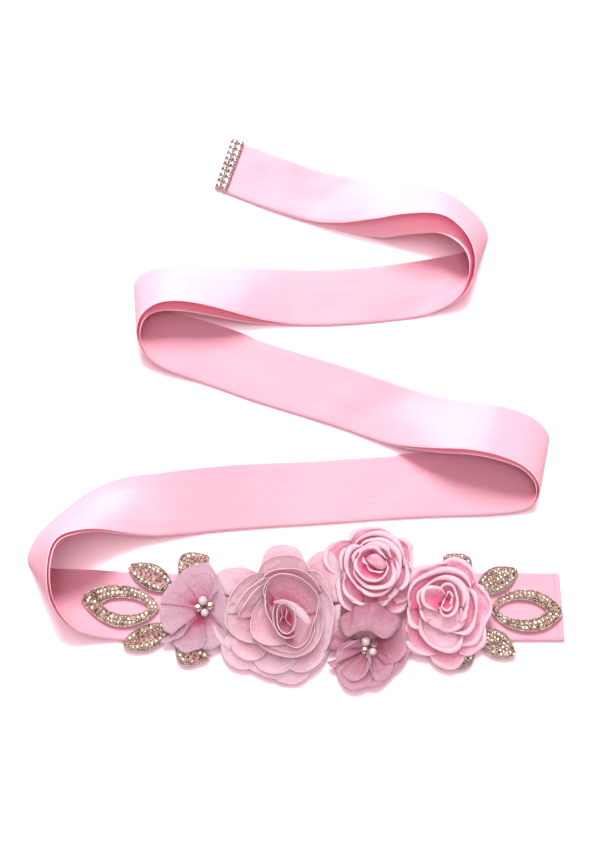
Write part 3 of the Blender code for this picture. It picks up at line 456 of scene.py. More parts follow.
# Folds of the petals: how many, how deep in mm, the waves of the rim, how far one side of a
# petal stands over its neighbour, and the depth of the rim's corners
PETAL_FOLDS = {
    "chiffon": (2, 0.30, 0.45, 0.5, 0.30),
    "rose": (2, 0.45, 0.75, 0.5, 0.8),
    "lilac": (1, 0.50, 0.55, 1.3, 0.4),
    "dusky": (2, 0.55, 1.05, 1.1, 0.6),
}
# Painted shade where a petal lies against the next: how much deeper each cloth's colour is along
# the petals' sides, and how far in, as a share
SIDE_WIDTH = 0.06
PAINTED_SIDE_SHADE = {"chiffon": 0.25, "rose": 0.35, "lilac": 0.55, "dusky": 0.45}
# How long each cloth's painted shade stays deep on the way out
PAINTED_SHADE_CURVE = {"chiffon": 1.45, "rose": 1.55, "lilac": 1.0, "dusky": 1.1}
# How much more or less than its cloth each form is pleated
FORM_FOLDS = {"visor": 1.6, "dome": 0.3, "lip": 0.3, "pleat": 1.25}
PETAL_COLUMNS = 34
PETAL_ROWS = 16
ROLL_ROWS = 6
# How wide a one-point root is, as a share of the rim, and a dome's
ROOT_SPREAD = 0.12
DOME_SPREAD = 0.01
# The waves along a rim, the swells over a face along and out, and the most that a wave is shifted
RIM_WAVES = (2.0, 3.0, 5.0)
FACE_SWELLS = ((1.1, 0.9), (2.3, 1.7))
WAVE_SHIFT = 6.3
# How high the swells are: a share of the rim's length, and each one's share of that
SWELL_SIZE = 0.06
SWELL_HEIGHT = 0.12
# The roll: how uneven and how often, how fast it grows from its ends, and its least share there
ROLL_UNEVEN = (0.35, 7.0)
ROLL_ENDS = (6.0, 0.25)
# The rim's corners: how fast they follow each other, and the level between them
CORNER_PACE = 4.2
CORNER_LEVEL = 0.64
# The cloth's thickness in mm, the roll of the rim against the table's, and its turn in degrees
PETAL_THICKNESS = {"chiffon": 0.22, "rose": 0.45, "lilac": 0.22, "dusky": 0.22}
ROLL_SIZE = {"chiffon": 0.42, "rose": 1.3, "lilac": 0.42, "dusky": 0.42}
ROLL_TURN = {"chiffon": 215.0, "rose": 135.0, "lilac": 215.0, "dusky": 215.0}
PETAL_SLOTS = {
    "chiffon": "chiffon", "rose": "rose_satin", "lilac": "lilac_chiffon", "dusky": "lilac_chiffon",
}

# The centres of the blooms: name, kind, radius in mm, angle in degrees
BEADS = (
    ("large_pearl", "pearl", 2.6, 100),
    ("right_stone", "stone", 2.3, 5),
    ("small_pearl", "pearl", 2.2, 280),
    ("left_stone", "stone", 2.3, 195),
)
# How far out they lie, in mm
BEAD_RING = 3.4
# Each centre's height in mm and turn in degrees
BEAD_MIDDLES = {"left_bloom": (8.4, 0), "front_bloom": (5.6, 25)}
# How far the pearls' holes and the stones lean, in degrees
PEARL_LEAN = 62.0
STONE_LEAN = 14.0
# The stones' size and height against the table's radius
STONE_SIZE = 0.84
STONE_HEIGHT = 1.5

# The beaded leaves, in mm on the front leg as if it were flat
LEAF_SEAT = 0.5
# How pointed the loops are, how round the leaves, and the part of a half wave that is a leaf
LOOP_POINT = 1.35
LEAF_ROUND = 0.8
LEAF_ENDS = (0.12, 0.96)
LOOPS = {
    # middle x, y, half length, half width, opening middle x, y, half length, half width, turn
    "left_leaf_loop": (-102.5, -113.5, 22.5, 12.2, -99.0, -113.7, 13.0, 4.7, -2),
    "right_leaf_loop": (128.5, -116.0, 20.5, 12.2, 125.5, -115.5, 13.5, 5.6, -2),
}
LEAVES = {
    # root x, y, tip x, y, width, bend
    "left_upper_leaf": (-75.0, -102.5, -97.5, -90.0, 15.0, -0.5),
    "left_lower_leaf": (-75.0, -126.5, -99.5, -136.0, 15.0, 0.5),
    "left_top_leaf": (-67.5, -98.0, -53.5, -84.5, 14.0, 4.5),
    "left_bottom_leaf": (-67.5, -131.5, -50.5, -143.0, 14.0, -4.5),
    "right_upper_leaf": (103.0, -104.0, 124.0, -92.5, 15.0, 0.5),
    "right_lower_leaf": (101.5, -129.0, 119.5, -141.0, 15.5, 0.0),
    "right_top_leaf": (95.5, -98.0, 84.0, -84.0, 14.0, -3.5),
    "right_bottom_leaf": (96.0, -132.5, 78.0, -147.0, 13.0, 4.0),
}
# The strewn beads' radius in mm, and how many places are tried for them
FILL_RADIUS = 0.62
FILL_TRIES = {"left": 260, "right": 2600}
# Steps from bead to bead in a row, and how near two may come, in their own radii
BEAD_PITCH = 1.75
STONE_PITCH = 2.15
NEARNESS = 0.8
# How far the stones lean along and back, the beads' least and greatest size against the table's,
# the spread of their tints, and the height of a stone's foot in mm
STONE_TILTS = (0.22, 0.15)
BEAD_SIZES = (0.92, 1.05)
TINT_SPREAD = 0.28
STONE_FOOT = 0.1
# The net's thickness and its depth under the beads, in mm
NET_THICKNESS = 0.2
NET_DEPTH = 0.2
LOOP_ROWS = (
    # share from the opening outwards, kind, radius in mm
    (0.95, "clear", 0.50),
    (0.06, "clear", 0.50),
    (0.38, "stone", 1.15),
    (0.68, "stone", 1.00),
    (0.52, "seed", 0.55),
    (0.83, "seed", 0.50),
    (0.20, "seed", 0.50),
)
LEAF_ROWS = {
    # share of the way out to either side, kind, radius in mm
    "left": ((0.95, "silver", 0.52), (0.58, "stone", 1.10), (0.78, "seed", 0.55)),
    "right": (
        (0.95, "silver", 0.52),
        (0.66, "stone", 0.95),
        (0.0, "stone", 0.95),
        (0.32, "stone", 0.80),
        (0.80, "silver", 0.50),
    ),
}

# The band of stones across the tail
BAND_COLUMNS = 2
BAND_ROWS = 9
BAND_WIDTH = 8.4 * MM
BAND_INSET = 0.6 * MM
BAND_STONE = 1.9
# The stones' height against their radius, and the seats over the upper run's middle surface
BAND_FLATNESS = 0.8
STONE_SEAT = 0.9 * MM
STRIP_SEAT = 0.6 * MM
STRIP_THICKNESS = 0.5 * MM


def place(x, y, z=0.0):
    """A point given in mm from the layout's mark, in the object's own frame."""
    return Vector((x * MM - ORIGIN_X, y * MM - ORIGIN_Y, z * MM))


# Materials

# How strong the threads' relief is on the ribbon and on the petals, and depths of relief in metres
THREAD_RELIEF = (0.12, 0.16)
THREAD_DEPTH = 0.00006
CRUMPLE_DEPTH = 0.0026
BEAD_DEPTH = 0.0001

PEARL_TINTS = ((0.50, 0.43, 0.43), (0.64, 0.59, 0.58))
SILVER_TINTS = ((0.34, 0.29, 0.25), (0.58, 0.54, 0.49))
NET_TINTS = ((0.50, 0.26, 0.25), (0.62, 0.38, 0.36))
BRONZE_STOPS = (
    (0.0, (0.08, 0.05, 0.03)), (0.35, (0.25, 0.17, 0.10)),
    (0.7, (0.46, 0.35, 0.24)), (1.0, (0.78, 0.67, 0.52)),
)
ROSY_STOPS = ((0.0, (0.26, 0.13, 0.11)), (0.5, (0.48, 0.33, 0.29)), (1.0, (0.76, 0.62, 0.57)))
# Petal colours from the root outwards: the cloths' own pinks, painted deep near the roots as shade
# and pale outwards as light
PETAL_STOPS = {
    "chiffon": (
        (0.03, (0.56, 0.06, 0.15)), (0.20, (0.74, 0.30, 0.43)),
        (0.45, (0.79, 0.53, 0.62)), (0.78, (0.80, 0.71, 0.76)),
    ),
    "rose": (
        (0.03, (0.54, 0.03, 0.11)), (0.28, (0.79, 0.18, 0.33)),
        (0.62, (0.83, 0.38, 0.51)), (0.92, (0.87, 0.53, 0.64)),
    ),
    "lilac": (
        (0.05, (0.50, 0.08, 0.18)), (0.30, (0.62, 0.33, 0.44)),
        (0.60, (0.63, 0.46, 0.54)), (0.90, (0.64, 0.50, 0.58)),
    ),
    "dusky": (
        (0.05, (0.38, 0.07, 0.13)), (0.35, (0.50, 0.23, 0.30)),
        (0.65, (0.57, 0.29, 0.37)), (0.90, (0.65, 0.40, 0.49)),
    ),
}
PETAL_CLOTHS = {
    # name, rim tint (a painted highlight), light that comes through, its share, roughness, sheen, threads
    "chiffon": ("petal_chiffon", (0.92, 0.85, 0.88), (0.95, 0.52, 0.62), 0.40, 0.75, 0.35, 420.0),
    "rose": ("petal_satin", (0.92, 0.68, 0.77), (0.95, 0.30, 0.45), 0.22, 0.42, 0.25, 620.0),
    "lilac": ("petal_lilac_chiffon", (0.76, 0.64, 0.70), (0.88, 0.45, 0.60), 0.36, 0.75, 0.35, 420.0),
    "dusky": ("petal_dusky_chiffon", (0.88, 0.72, 0.78), (0.72, 0.32, 0.44), 0.34, 0.75, 0.35, 420.0),
}


class Shader:
    """A material's nodes, with short calls for the links that most of them share."""

    def __init__(self, name, **values):
        self.material = bpy.data.materials.new(name)
        self.material.use_nodes = True
        self.tree = self.material.node_tree
        self.body = self.tree.nodes["Principled BSDF"]
        self.output = self.tree.nodes["Material Output"]
        for socket, value in values.items():
            self.body.inputs[socket.replace("_", " ")].default_value = value

    def node(self, kind, inputs=(), **settings):
        made = self.tree.nodes.new(kind)
        for key, value in settings.items():
            setattr(made, key, value)
        for socket, value in dict(inputs).items():
            self.feed(made.inputs[socket], value)
        return made

    def feed(self, socket, value):
        if isinstance(value, bpy.types.NodeSocket):
            self.tree.links.new(value, socket)
        elif isinstance(value, bpy.types.Node):
            self.tree.links.new(value.outputs[0], socket)
        else:
            socket.default_value = value

    def math(self, operation, first, second=0.0):
        return self.node("ShaderNodeMath", {0: first, 1: second}, operation=operation)

    def ramp(self, factor, stops):
        """Colours or greys along a factor, eased between the stops."""
        made = self.node("ShaderNodeValToRGB", {0: factor})
        made.color_ramp.interpolation = "EASE"
        elements = made.color_ramp.elements
        while len(elements) < len(stops):
            elements.new(0.5)
        for element, (position, colour) in zip(elements, stops):
            element.position = position
            if not hasattr(colour, "__len__"):
                colour = (colour, colour, colour)
            element.color = (*colour, 1.0)
        return made

    def noise(self, vector, scale, detail=3.0, roughness=0.5):
        inputs = {"Vector": vector, "Scale": scale, "Detail": detail, "Roughness": roughness}
        return self.node("ShaderNodeTexNoise", inputs)

    def stretch(self, vector, scale):
        """A vector scaled by a different amount on each axis."""
        return self.node("ShaderNodeMapping", {"Vector": vector, "Scale": scale})

    def bump(self, height, strength, distance, before=None):
        inputs = {"Height": height, "Strength": strength, "Distance": distance}
        if before is not None:
            inputs["Normal"] = before
        return self.node("ShaderNodeBump", inputs)

    def attribute(self, name):
        return self.node("ShaderNodeAttribute", attribute_name=name).outputs["Fac"]

    def cloth_uv(self):
        return self.node("ShaderNodeUVMap", uv_map="cloth")

    def object_place(self):
        return self.node("ShaderNodeTexCoord").outputs["Object"]

    def cloth_noise(self, uv, along, across, **values):
        """Noise with a scale of its own along and across the cloth."""
        return self.noise(self.stretch(uv, (along, across, 1.0)), 1.0, **values)

    def between(self, noise, low, high):
        """From one colour or grey to another over the middle of a noise."""
        return self.ramp(noise, ((0.3, low), (0.7, high)))

    def mix(self, share, first, second, **settings):
        made = self.node("ShaderNodeMix", {0: share, 6: first, 7: second}, data_type="RGBA", **settings)
        return made.outputs[2]

    def set(self, socket, value):
        self.feed(self.body.inputs[socket], value)


def cloth_material(name, glow, share, **values):
    """A cloth that lets a share of the light through, tinted as it passes. Gives the shader and
    the socket of the normal on that side."""
    shader = Shader(name, Sheen_Roughness=0.35, **values)
    through = shader.node("ShaderNodeBsdfTranslucent", {"Color": (*glow, 1.0)})
    both = shader.node("ShaderNodeMixShader", {0: share, 1: shader.body, 2: through})
    shader.feed(shader.output.inputs["Surface"], both)
    return shader, through.inputs["Normal"]


def ribbon_material():
    """Double-faced satin: a broad sheen across fine threads, with soft colour changes, pale
    selvedges with a painted highlight, painted light inside the first turn and a seam."""
    shader, through = cloth_material(
        "ribbon_satin", RIBBON_GLOW, 0.40, Roughness=0.36, Sheen_Weight=0.1, Specular_IOR_Level=0.65,
        Anisotropic=0.7, Anisotropic_Rotation=0.25,
    )
    uv = shader.cloth_uv()
    shader.set("Tangent", shader.node("ShaderNodeTangent", direction_type="UV_MAP", uv_map="cloth"))
    cloudy = shader.cloth_noise(uv, 14.0, 520.0, detail=4.0)
    tint = shader.ramp(cloudy, ((0.25, RIBBON_TINTS[0]), (0.75, RIBBON_TINTS[1])))
    spot = shader.node("ShaderNodeSeparateXYZ", {0: uv}).outputs
    from_seam = shader.math("ABSOLUTE", shader.math("ADD", spot["X"], SEAM_INSET))
    seam_widths = shader.math("MULTIPLY", from_seam, 1.0 / SEAM_WIDTH)
    tint = shader.mix(shader.ramp(seam_widths, ((0.15, 0.55), (0.60, 0.0))), tint, (*SEAM_TINT, 1.0))
    from_middle = shader.math("ABSOLUTE", shader.math("SUBTRACT", spot["Y"], 0.5 * RIBBON_WIDTH))
    from_edge = shader.math("SUBTRACT", 0.5 * RIBBON_WIDTH, from_middle)
    selvedge_and_highlight = shader.ramp(shader.math("MULTIPLY", from_edge, 1.0 / SELVEDGE), ((0.55, 1.0), (1.0, 0.0)))
    # The selvedges with their painted highlight, or the painted light inside the first turn
    pale = shader.math("MAXIMUM", selvedge_and_highlight, shader.attribute("pale"))
    shader.set("Base Color", shader.mix(pale, tint, (*SELVEDGE_AND_PAINTED_LIGHT_TINT, 1.0)))
    weave = shader.cloth_noise(uv, 260.0, 5200.0, detail=2.0)
    ribs = shader.node(
        "ShaderNodeTexWave",
        {"Vector": shader.stretch(uv, (1.0, 3300.0, 1.0)), "Scale": 0.32, "Distortion": 0.6},
        bands_direction="Y",
    )
    fine = shader.bump(shader.math("ADD", weave, ribs), THREAD_RELIEF[0], THREAD_DEPTH)
    shader.set("Normal", fine)
    shader.feed(through, fine)
    return shader.material


def petal_material(stops, name, rim, glow, share, roughness, sheen, thread):
    """Petal cloth with painted shade deep in the folds at the root and painted light pale towards
    the rim, with a painted highlight on the rim itself and a fine crossed weave.
    """
    shader, through = cloth_material(
        name, glow, share, Roughness=roughness, Sheen_Weight=sheen, Specular_IOR_Level=0.35
    )
    # The painted shade and light from root to rim
    depth = shader.attribute("depth")
    uv = shader.cloth_uv()
    cloudy = shader.cloth_noise(uv, 420.0, 240.0, detail=5.0, roughness=0.65)
    shift = shader.math("MULTIPLY", shader.math("SUBTRACT", cloudy, 0.5), 0.42)
    shift = shader.math("ADD", shift, shader.math("MULTIPLY", shader.attribute("tint"), 0.10))
    tone = shader.ramp(shader.math("ADD", depth, shift), stops)
    # A painted highlight along the very rim
    nearly = shader.math("ADD", depth, shader.math("MULTIPLY", shift, 0.05))
    at_rim = shader.ramp(nearly, ((0.955, 0.0), (0.990, 0.9)))
    edged = shader.mix(at_rim, tone, (*rim, 1.0))
    mottle = shader.ramp(shader.cloth_noise(uv, 1500.0, 1100.0), ((0.38, 0.86), (0.62, 1.0)))
    shader.set("Base Color", shader.mix(1.0, edged, mottle, blend_type="MULTIPLY"))
    waves = []
    for direction in ("X", "Y"):
        inputs = {"Vector": uv, "Scale": thread, "Distortion": 1.2, "Detail": 1.0}
        waves.append(shader.node("ShaderNodeTexWave", inputs, bands_direction=direction))
    weave = shader.bump(shader.math("ADD", *waves), THREAD_RELIEF[1], THREAD_DEPTH)
    crumple = shader.cloth_noise(uv, 330.0, 210.0, detail=5.0, roughness=0.6)
    fine = shader.bump(crumple, 0.6, CRUMPLE_DEPTH, weave)
    shader.set("Normal", fine)
    shader.feed(through, fine)
    return shader.material


def pearl_material():
    shader = Shader("pearl_lustre", Roughness=0.30, Coat_Weight=0.5, Coat_Roughness=0.06, Sheen_Weight=0.3)
    spot = shader.object_place()
    shader.set("Base Color", shader.between(shader.noise(spot, 420.0), *PEARL_TINTS))
    shader.set("Normal", shader.bump(shader.noise(spot, 1900.0), 0.05, 0.00005))
    return shader.material


def bead_material(name, stops, smooth, rough, **values):
    """Glass beads: every bead has its own shade."""
    shader = Shader(name, **values)
    shader.set("Base Color", shader.ramp(shader.attribute("tint"), stops))
    spot = shader.object_place()
    shader.set("Roughness", shader.between(shader.noise(spot, 900.0), smooth, rough))
    shader.set("Normal", shader.bump(shader.noise(spot, 2500.0), 0.2, BEAD_DEPTH))
    return shader.material


def stone_material(name, dark, light):
    """Foiled cut glass: clear facets over a mirror back."""
    shader = Shader(name, Metallic=0.85, Coat_Weight=1.0, Coat_Roughness=0.02)
    tint = shader.attribute("tint")
    flash = shader.noise(shader.object_place(), 1300.0, detail=1.0)
    both = shader.math("ADD", shader.math("MULTIPLY", tint, 0.5), shader.math("MULTIPLY", flash, 0.5))
    shader.set("Base Color", shader.ramp(both, ((0.3, dark), (0.6, light))))
    shader.set("Roughness", shader.between(flash, 0.04, 0.16))
    return shader.material


def silver_material():
    shader = Shader("silver_setting", Metallic=1.0)
    worn = shader.noise(shader.object_place(), 1100.0, detail=4.0)
    shader.set("Base Color", shader.between(worn, *SILVER_TINTS))
    shader.set("Roughness", shader.between(worn, 0.22, 0.42))
    shader.set("Normal", shader.bump(worn, 0.15, BEAD_DEPTH))
    return shader.material


def net_material():
    """Fine tulle: threads round small holes."""
    shader = Shader("tulle_net", Roughness=0.7, Sheen_Weight=0.3)
    uv = shader.cloth_uv()
    inputs = {"Vector": uv, "Scale": 1500.0, "Randomness": 0.25}
    cells = shader.node("ShaderNodeTexVoronoi", inputs, feature="DISTANCE_TO_EDGE")
    shader.set("Alpha", shader.ramp(cells, ((0.16, 1.0), (0.24, 0.25))))
    shader.set("Base Color", shader.between(shader.cloth_noise(uv, 200.0, 200.0), *NET_TINTS))
    shader.set("Normal", shader.bump(cells, 0.4, 0.0002))
    return shader.material


MATERIALS = {"ribbon": ribbon_material()}
for cloth_name, looks in PETAL_CLOTHS.items():
    MATERIALS[cloth_name] = petal_material(PETAL_STOPS[cloth_name], *looks)
MATERIALS["pearl"] = pearl_material()
MATERIALS["bead"] = bead_material(
    "seed_bead_glass", BRONZE_STOPS, 0.14, 0.34, Metallic=0.75, Coat_Weight=0.6, Coat_Roughness=0.08
)
MATERIALS["clear_bead"] = bead_material(
    "clear_bead_glass", ROSY_STOPS, 0.12, 0.30, Coat_Weight=0.8, Coat_Roughness=0.06
)
MATERIALS["stone"] = stone_material("clear_stone", (0.09, 0.06, 0.035), (0.74, 0.62, 0.47))
MATERIALS["dark_stone"] = stone_material("smoky_stone", (0.10, 0.08, 0.09), (0.62, 0.58, 0.60))
MATERIALS["silver"] = silver_material()
MATERIALS["net"] = net_material()


# Meshes


def add_mesh(name, points, faces, finish, uvs=None, values=None, kinds=None, sharp=()):
    """A smooth mesh object from arrays. uvs and values have one row for each point.

    finish is a material or several of them, kinds says which of them each face has, and
    sharp lists the ones whose faces stay flat.
    """
    finishes = [finish] if isinstance(finish, str) else list(finish)
    mesh = bpy.data.meshes.new(name)
    if isinstance(faces, np.ndarray):
        faces = faces.tolist()
    mesh.from_pydata(np.asarray(points).tolist(), [], faces)
    for each in finishes:
        mesh.materials.append(MATERIALS[each])
    corners = np.empty(len(mesh.loops), dtype=np.int64)
    mesh.loops.foreach_get("vertex_index", corners)
    if uvs is not None:
        layer = mesh.uv_layers.new(name="cloth")
        layer.data.foreach_set("uv", np.asarray(uvs)[corners].ravel().astype(np.float32))
    for key, value in (values or {}).items():
        attribute = mesh.attributes.new(key, "FLOAT", "POINT")
        attribute.data.foreach_set("value", np.asarray(value).ravel().astype(np.float32))
    mesh.shade_smooth()
    if kinds is not None:
        kinds = np.asarray(kinds)
        mesh.polygons.foreach_set("material_index", kinds.astype(np.int32))
        flat = np.isin(kinds, [finishes.index(each) for each in sharp])
        mesh.polygons.foreach_set("use_smooth", ~flat)
    mesh.update()
    thing = bpy.data.objects.new(name, mesh)
    bpy.context.scene.collection.objects.link(thing)
    return thing


def belongs(thing, slot, *nodes):
    """Put a piece on the root body, in place of these nodes. slot is not used."""
    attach(thing, "root")
    if nodes:
        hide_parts(*nodes)


def pairs(first, second):
    """All pairs of two lines of numbers, one row for each."""
    return np.stack(np.meshgrid(first, second, indexing="ij"), axis=-1).reshape(-1, 2)


def lattice_faces(rows, columns, loop_rows=False, loop_columns=False):
    """Four-sided faces over a lattice of points that is stored row by row."""
    i = np.arange(rows if loop_rows else rows - 1)
    j = np.arange(columns if loop_columns else columns - 1)
    i, j = np.meshgrid(i, j, indexing="ij")
    down = (i + 1) % rows
    right = (j + 1) % columns
    here, below = i * columns, down * columns
    return np.stack([here + j, here + right, below + right, below + j], axis=-1).reshape(-1, 4)


# The ribbon's form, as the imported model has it


def natural_spline(knots, values, at):
    """Values of the smooth cubic curve through the knots, one column for each quantity."""
    count = len(knots)
    step = np.diff(knots)
    system = np.zeros((count, count))
    bend = np.zeros(values.shape)
    system[0, 0] = 1.0
    system[-1, -1] = 1.0
    for i in range(1, count - 1):
        system[i, i - 1] = step[i - 1]
        system[i, i] = 2.0 * (step[i - 1] + step[i])
        system[i, i + 1] = step[i]
        rise = (values[i + 1] - values[i]) / step[i]
        fall = (values[i] - values[i - 1]) / step[i - 1]
        bend[i] = 6.0 * (rise - fall)
    second = np.linalg.solve(system, bend)
    k = np.clip(np.searchsorted(knots, at) - 1, 0, count - 2)
    width = step[k][:, None]
    a = (knots[k + 1] - at)[:, None] / width
    b = (at - knots[k])[:, None] / width
    curved = (a**3 - a) * second[k] + (b**3 - b) * second[k + 1]
    return a * values[k] + b * values[k + 1] + curved * width**2 / 6.0


def steady_spline(knots, values, at):
    """Like natural_spline, but it never passes above or below the two knots beside it."""
    step = np.diff(knots)[:, None]
    slope = np.diff(values, axis=0) / step
    before, after = slope[:-1], slope[1:]
    same_way = before * after > 0.0
    total = np.where(same_way, before + after, 1.0)
    tangent = np.zeros(values.shape)
    tangent[1:-1] = np.where(same_way, 2.0 * before * after / total, 0.0)
    k = np.clip(np.searchsorted(knots, at) - 1, 0, len(knots) - 2)
    width = step[k]
    b = np.clip((at - knots[k])[:, None] / width, 0.0, 1.0)
    a = 1.0 - b
    start = a * a * (1.0 + 2.0 * b) * values[k] + a * a * b * width * tangent[k]
    end = b * b * (1.0 + 2.0 * a) * values[k + 1] - b * b * a * width * tangent[k + 1]
    return start + end


def cross_direction(yaw, dip):
    """Unit vectors from the front edge to the back edge."""
    yaw = np.radians(yaw)
    dip = np.radians(dip)
    flat = np.cos(dip)
    return np.stack([np.sin(yaw) * flat, np.cos(yaw) * flat, -np.sin(dip)], axis=-1)


def route_table():
    """Distances along the ribbon's middle line and the sections there, in metres and degrees."""
    table = np.array(SECTIONS, dtype=float)
    table[:, :3] *= MM
    table[:, 5] *= MM
    table[:, 0] -= ORIGIN_X
    table[:, 1] -= ORIGIN_Y
    middle = table[:, :3] + 0.5 * RIBBON_WIDTH * cross_direction(table[:, 3], table[:, 4])
    strides = np.linalg.norm(np.diff(middle, axis=0), axis=1)
    return np.concatenate([[0.0], np.cumsum(strides)]), table


KNOTS, TABLE = route_table()
RUN_LENGTH = KNOTS[-1]


def crease_height(distances, across):
    """How far the satin's soft waves lift both layers off their plain form."""
    s = distances / MM
    a = across * RIBBON_WIDTH / MM
    whole = RIBBON_WIDTH / MM
    height = np.zeros(distances.shape)
    for s0, a0, s1, a1, width, depth in CREASES:
        start = np.array([s0, a0 * whole])
        axis = np.array([s1, a1 * whole]) - start
        length = np.linalg.norm(axis)
        axis /= length
        along = (s - start[0]) * axis[0] + (a - start[1]) * axis[1]
        aside = (a - start[1]) * axis[0] - (s - start[0]) * axis[1]
        beyond = np.maximum(np.maximum(-along, along - length), 0.0)
        height += depth * np.exp(-((aside / width) ** 2) - (beyond / (CREASE_END * width)) ** 2)
    for length, slant, shift, depth in RIPPLES:
        height += depth * np.sin((s + slant * a) * 2.0 * math.pi / length + shift)
    return height * MM


def ribbon_middle(distances, across):
    """Points between the two layers, and the way across and the slack there."""
    flat = distances.ravel()
    plan = natural_spline(KNOTS, TABLE[:, [0, 1, 3]], flat)
    eased = 0.0
    weight = 1.0 / len(EASE_SHARES)
    for share in EASE_SHARES:
        eased = eased + weight * steady_spline(KNOTS, TABLE[:, [2, 4, 5]], flat + share * EASE)
    x, y, yaw = (part.reshape(across.shape) for part in plan.T)
    z, dip, slack = (part.reshape(across.shape) for part in eased.T)
    way = cross_direction(yaw, dip)
    points = np.stack([x, y, z], axis=-1) + (RIBBON_WIDTH * across)[..., None] * way
    points[..., 2] = np.maximum(points[..., 2], MIDDLE_HEIGHT)
    return points, way, slack


def ribbon_frame(distances, across):
    """Points between the layers, the normal there and the slack."""
    probe = 0.2 * MM
    points, way, slack = ribbon_middle(distances, across)
    along = ribbon_middle(distances + probe, across)[0] - ribbon_middle(distances - probe, across)[0]
    normal = np.cross(along, way)
    normal /= np.linalg.norm(normal, axis=-1, keepdims=True)
    return points, normal, slack


def ribbon_points(distances, across, layer, height=0.0):
    """Points of one layer's middle surface, or a height out from it.

    layer is 1 for the upper run and -1 for the lower run.
    """
    distances, across, height = np.broadcast_arrays(distances, across, height)
    points, normal, slack = ribbon_frame(distances, across)
    stand_off = np.maximum(layer * slack, 0.0) * np.clip(1.0 - across, 0.0, 1.0)
    points = points + normal * crease_height(distances, across)[..., None]
    points = points + layer * normal * (LAYER_OFFSET + stand_off)[..., None]
    points[..., 2] = np.maximum(points[..., 2], RIBBON_THICKNESS)
    return points + layer * normal * height[..., None]


def cloth_side(side, distances, across):
    """One side of the ribbon's cloth: the upper run, the fold and the lower run back."""
    thin = np.where((across == 0.0) | (across == 1.0), EDGE_THINNESS, 1.0)
    height = side * 0.5 * RIBBON_THICKNESS * thin
    grid_s, grid_a = np.meshgrid(distances, across, indexing="ij")
    upper, lower = (ribbon_points(grid_s, grid_a, layer, height) for layer in (1, -1))
    end = np.array([*TABLE[-1, :2], MIDDLE_HEIGHT])
    fold = []
    for i in range(1, FOLD_ROWS):
        angle = math.pi * (0.5 - i / FOLD_ROWS)
        out = np.array([math.cos(angle), 0.0, math.sin(angle)])
        row = end + out * (LAYER_OFFSET + height)[:, None]
        row[:, 1] += RIBBON_WIDTH * across
        fold.append(row)
    return np.concatenate([upper, np.array(fold), lower[::-1]])


def painted_light_inside_turn(distances, across):
    """Painted light: how much paler the lower run's upper face is painted inside the first turn."""
    start, stop, fade = (part * MM for part in PAINTED_LIGHT_STRETCH)
    begun = np.clip((distances - start) / fade, 0.0, 1.0)
    along = begun * np.clip((stop - distances) / fade, 0.0, 1.0)
    return along[:, None] * np.clip(PAINTED_LIGHT_ACROSS[0] - PAINTED_LIGHT_ACROSS[1] * across, 0.0, 1.0)


def make_ribbon():
    """The whole ribbon as one thin shell. The cloth's own x runs from the fold: below 0 on the
    upper run, above it on the lower run."""
    steps = int(RUN_LENGTH / RIBBON_STEP)
    distances = np.linspace(0.0, RUN_LENGTH, steps)
    across = 0.5 - 0.5 * np.cos(np.linspace(0.0, math.pi, RIBBON_COLUMNS))
    across = EDGE_CROWDING * across + (1.0 - EDGE_CROWDING) * np.linspace(0.0, 1.0, RIBBON_COLUMNS)
    outer, inner = (cloth_side(side, distances, across) for side in (1.0, -1.0))
    ring = np.concatenate([outer, inner[:, ::-1]], axis=1)
    rows, round_columns = ring.shape[:2]
    faces = lattice_faces(rows, round_columns, loop_columns=True)
    last = (rows - 1) * round_columns
    caps = []
    for j in range(RIBBON_COLUMNS - 1):
        twin = round_columns - 1 - j
        caps.append((j, twin, twin - 1, j + 1))
        caps.append((last + j, last + j + 1, last + twin - 1, last + twin))
    faces = np.concatenate([faces[:, ::-1], np.array(caps)[:, ::-1]])
    bend = math.pi * LAYER_OFFSET
    fold = bend * np.arange(1, FOLD_ROWS) / FOLD_ROWS
    strip = np.concatenate([distances - RUN_LENGTH, fold, bend + distances])
    width = np.concatenate([across, across[::-1]]) * RIBBON_WIDTH
    uvs = pairs(strip, width)
    # Painted light on the lower run's upper face inside the first turn
    pale = np.zeros((rows, round_columns))
    pale[-steps:, RIBBON_COLUMNS:] = painted_light_inside_turn(distances, across)[::-1, ::-1]
    ribbon = add_mesh("satin_ribbon", ring.reshape(-1, 3), faces, "ribbon", uvs, {"pale": pale})
    stretches = [f"leg_{n}" for n in range(1, 6)] + [f"turn_{n}" for n in range(1, 5)]
    names = [f"{run}_{stretch}" for run in ("upper", "lower") for stretch in stretches]
    belongs(ribbon, "satin", *names, "front_end_fold")
    return ribbon


# The flowers


def curve_through(points, shares):
    """Points of a smooth line through a few points, at shares of its length."""
    points = np.array(points, dtype=float)
    knots = np.concatenate([[0.0], np.cumsum(np.linalg.norm(np.diff(points, axis=0), axis=1))])
    return natural_spline(knots / knots[-1], points, shares)


def unit(vectors):
    return vectors / np.maximum(np.linalg.norm(vectors, axis=-1, keepdims=True), 1e-9)


def lattice_normals(lattice):
    down = np.gradient(lattice, axis=0)
    along = np.gradient(lattice, axis=1)
    return unit(np.cross(along, down))


def petal_face(form, foot, edge):
    """A petal's face from its foot out to its rim, bent as its form says."""
    reach = edge - foot
    near, far = (foot + reach * (out, out, rise) + (0.0, 0.0, lift) for out, rise, lift in PETAL_FORMS[form])
    v = np.linspace(0.0, 1.0, PETAL_ROWS)[:, None, None]
    return (1 - v) ** 3 * foot + 3 * v * (1 - v) ** 2 * near + 3 * v * v * (1 - v) * far + v**3 * edge


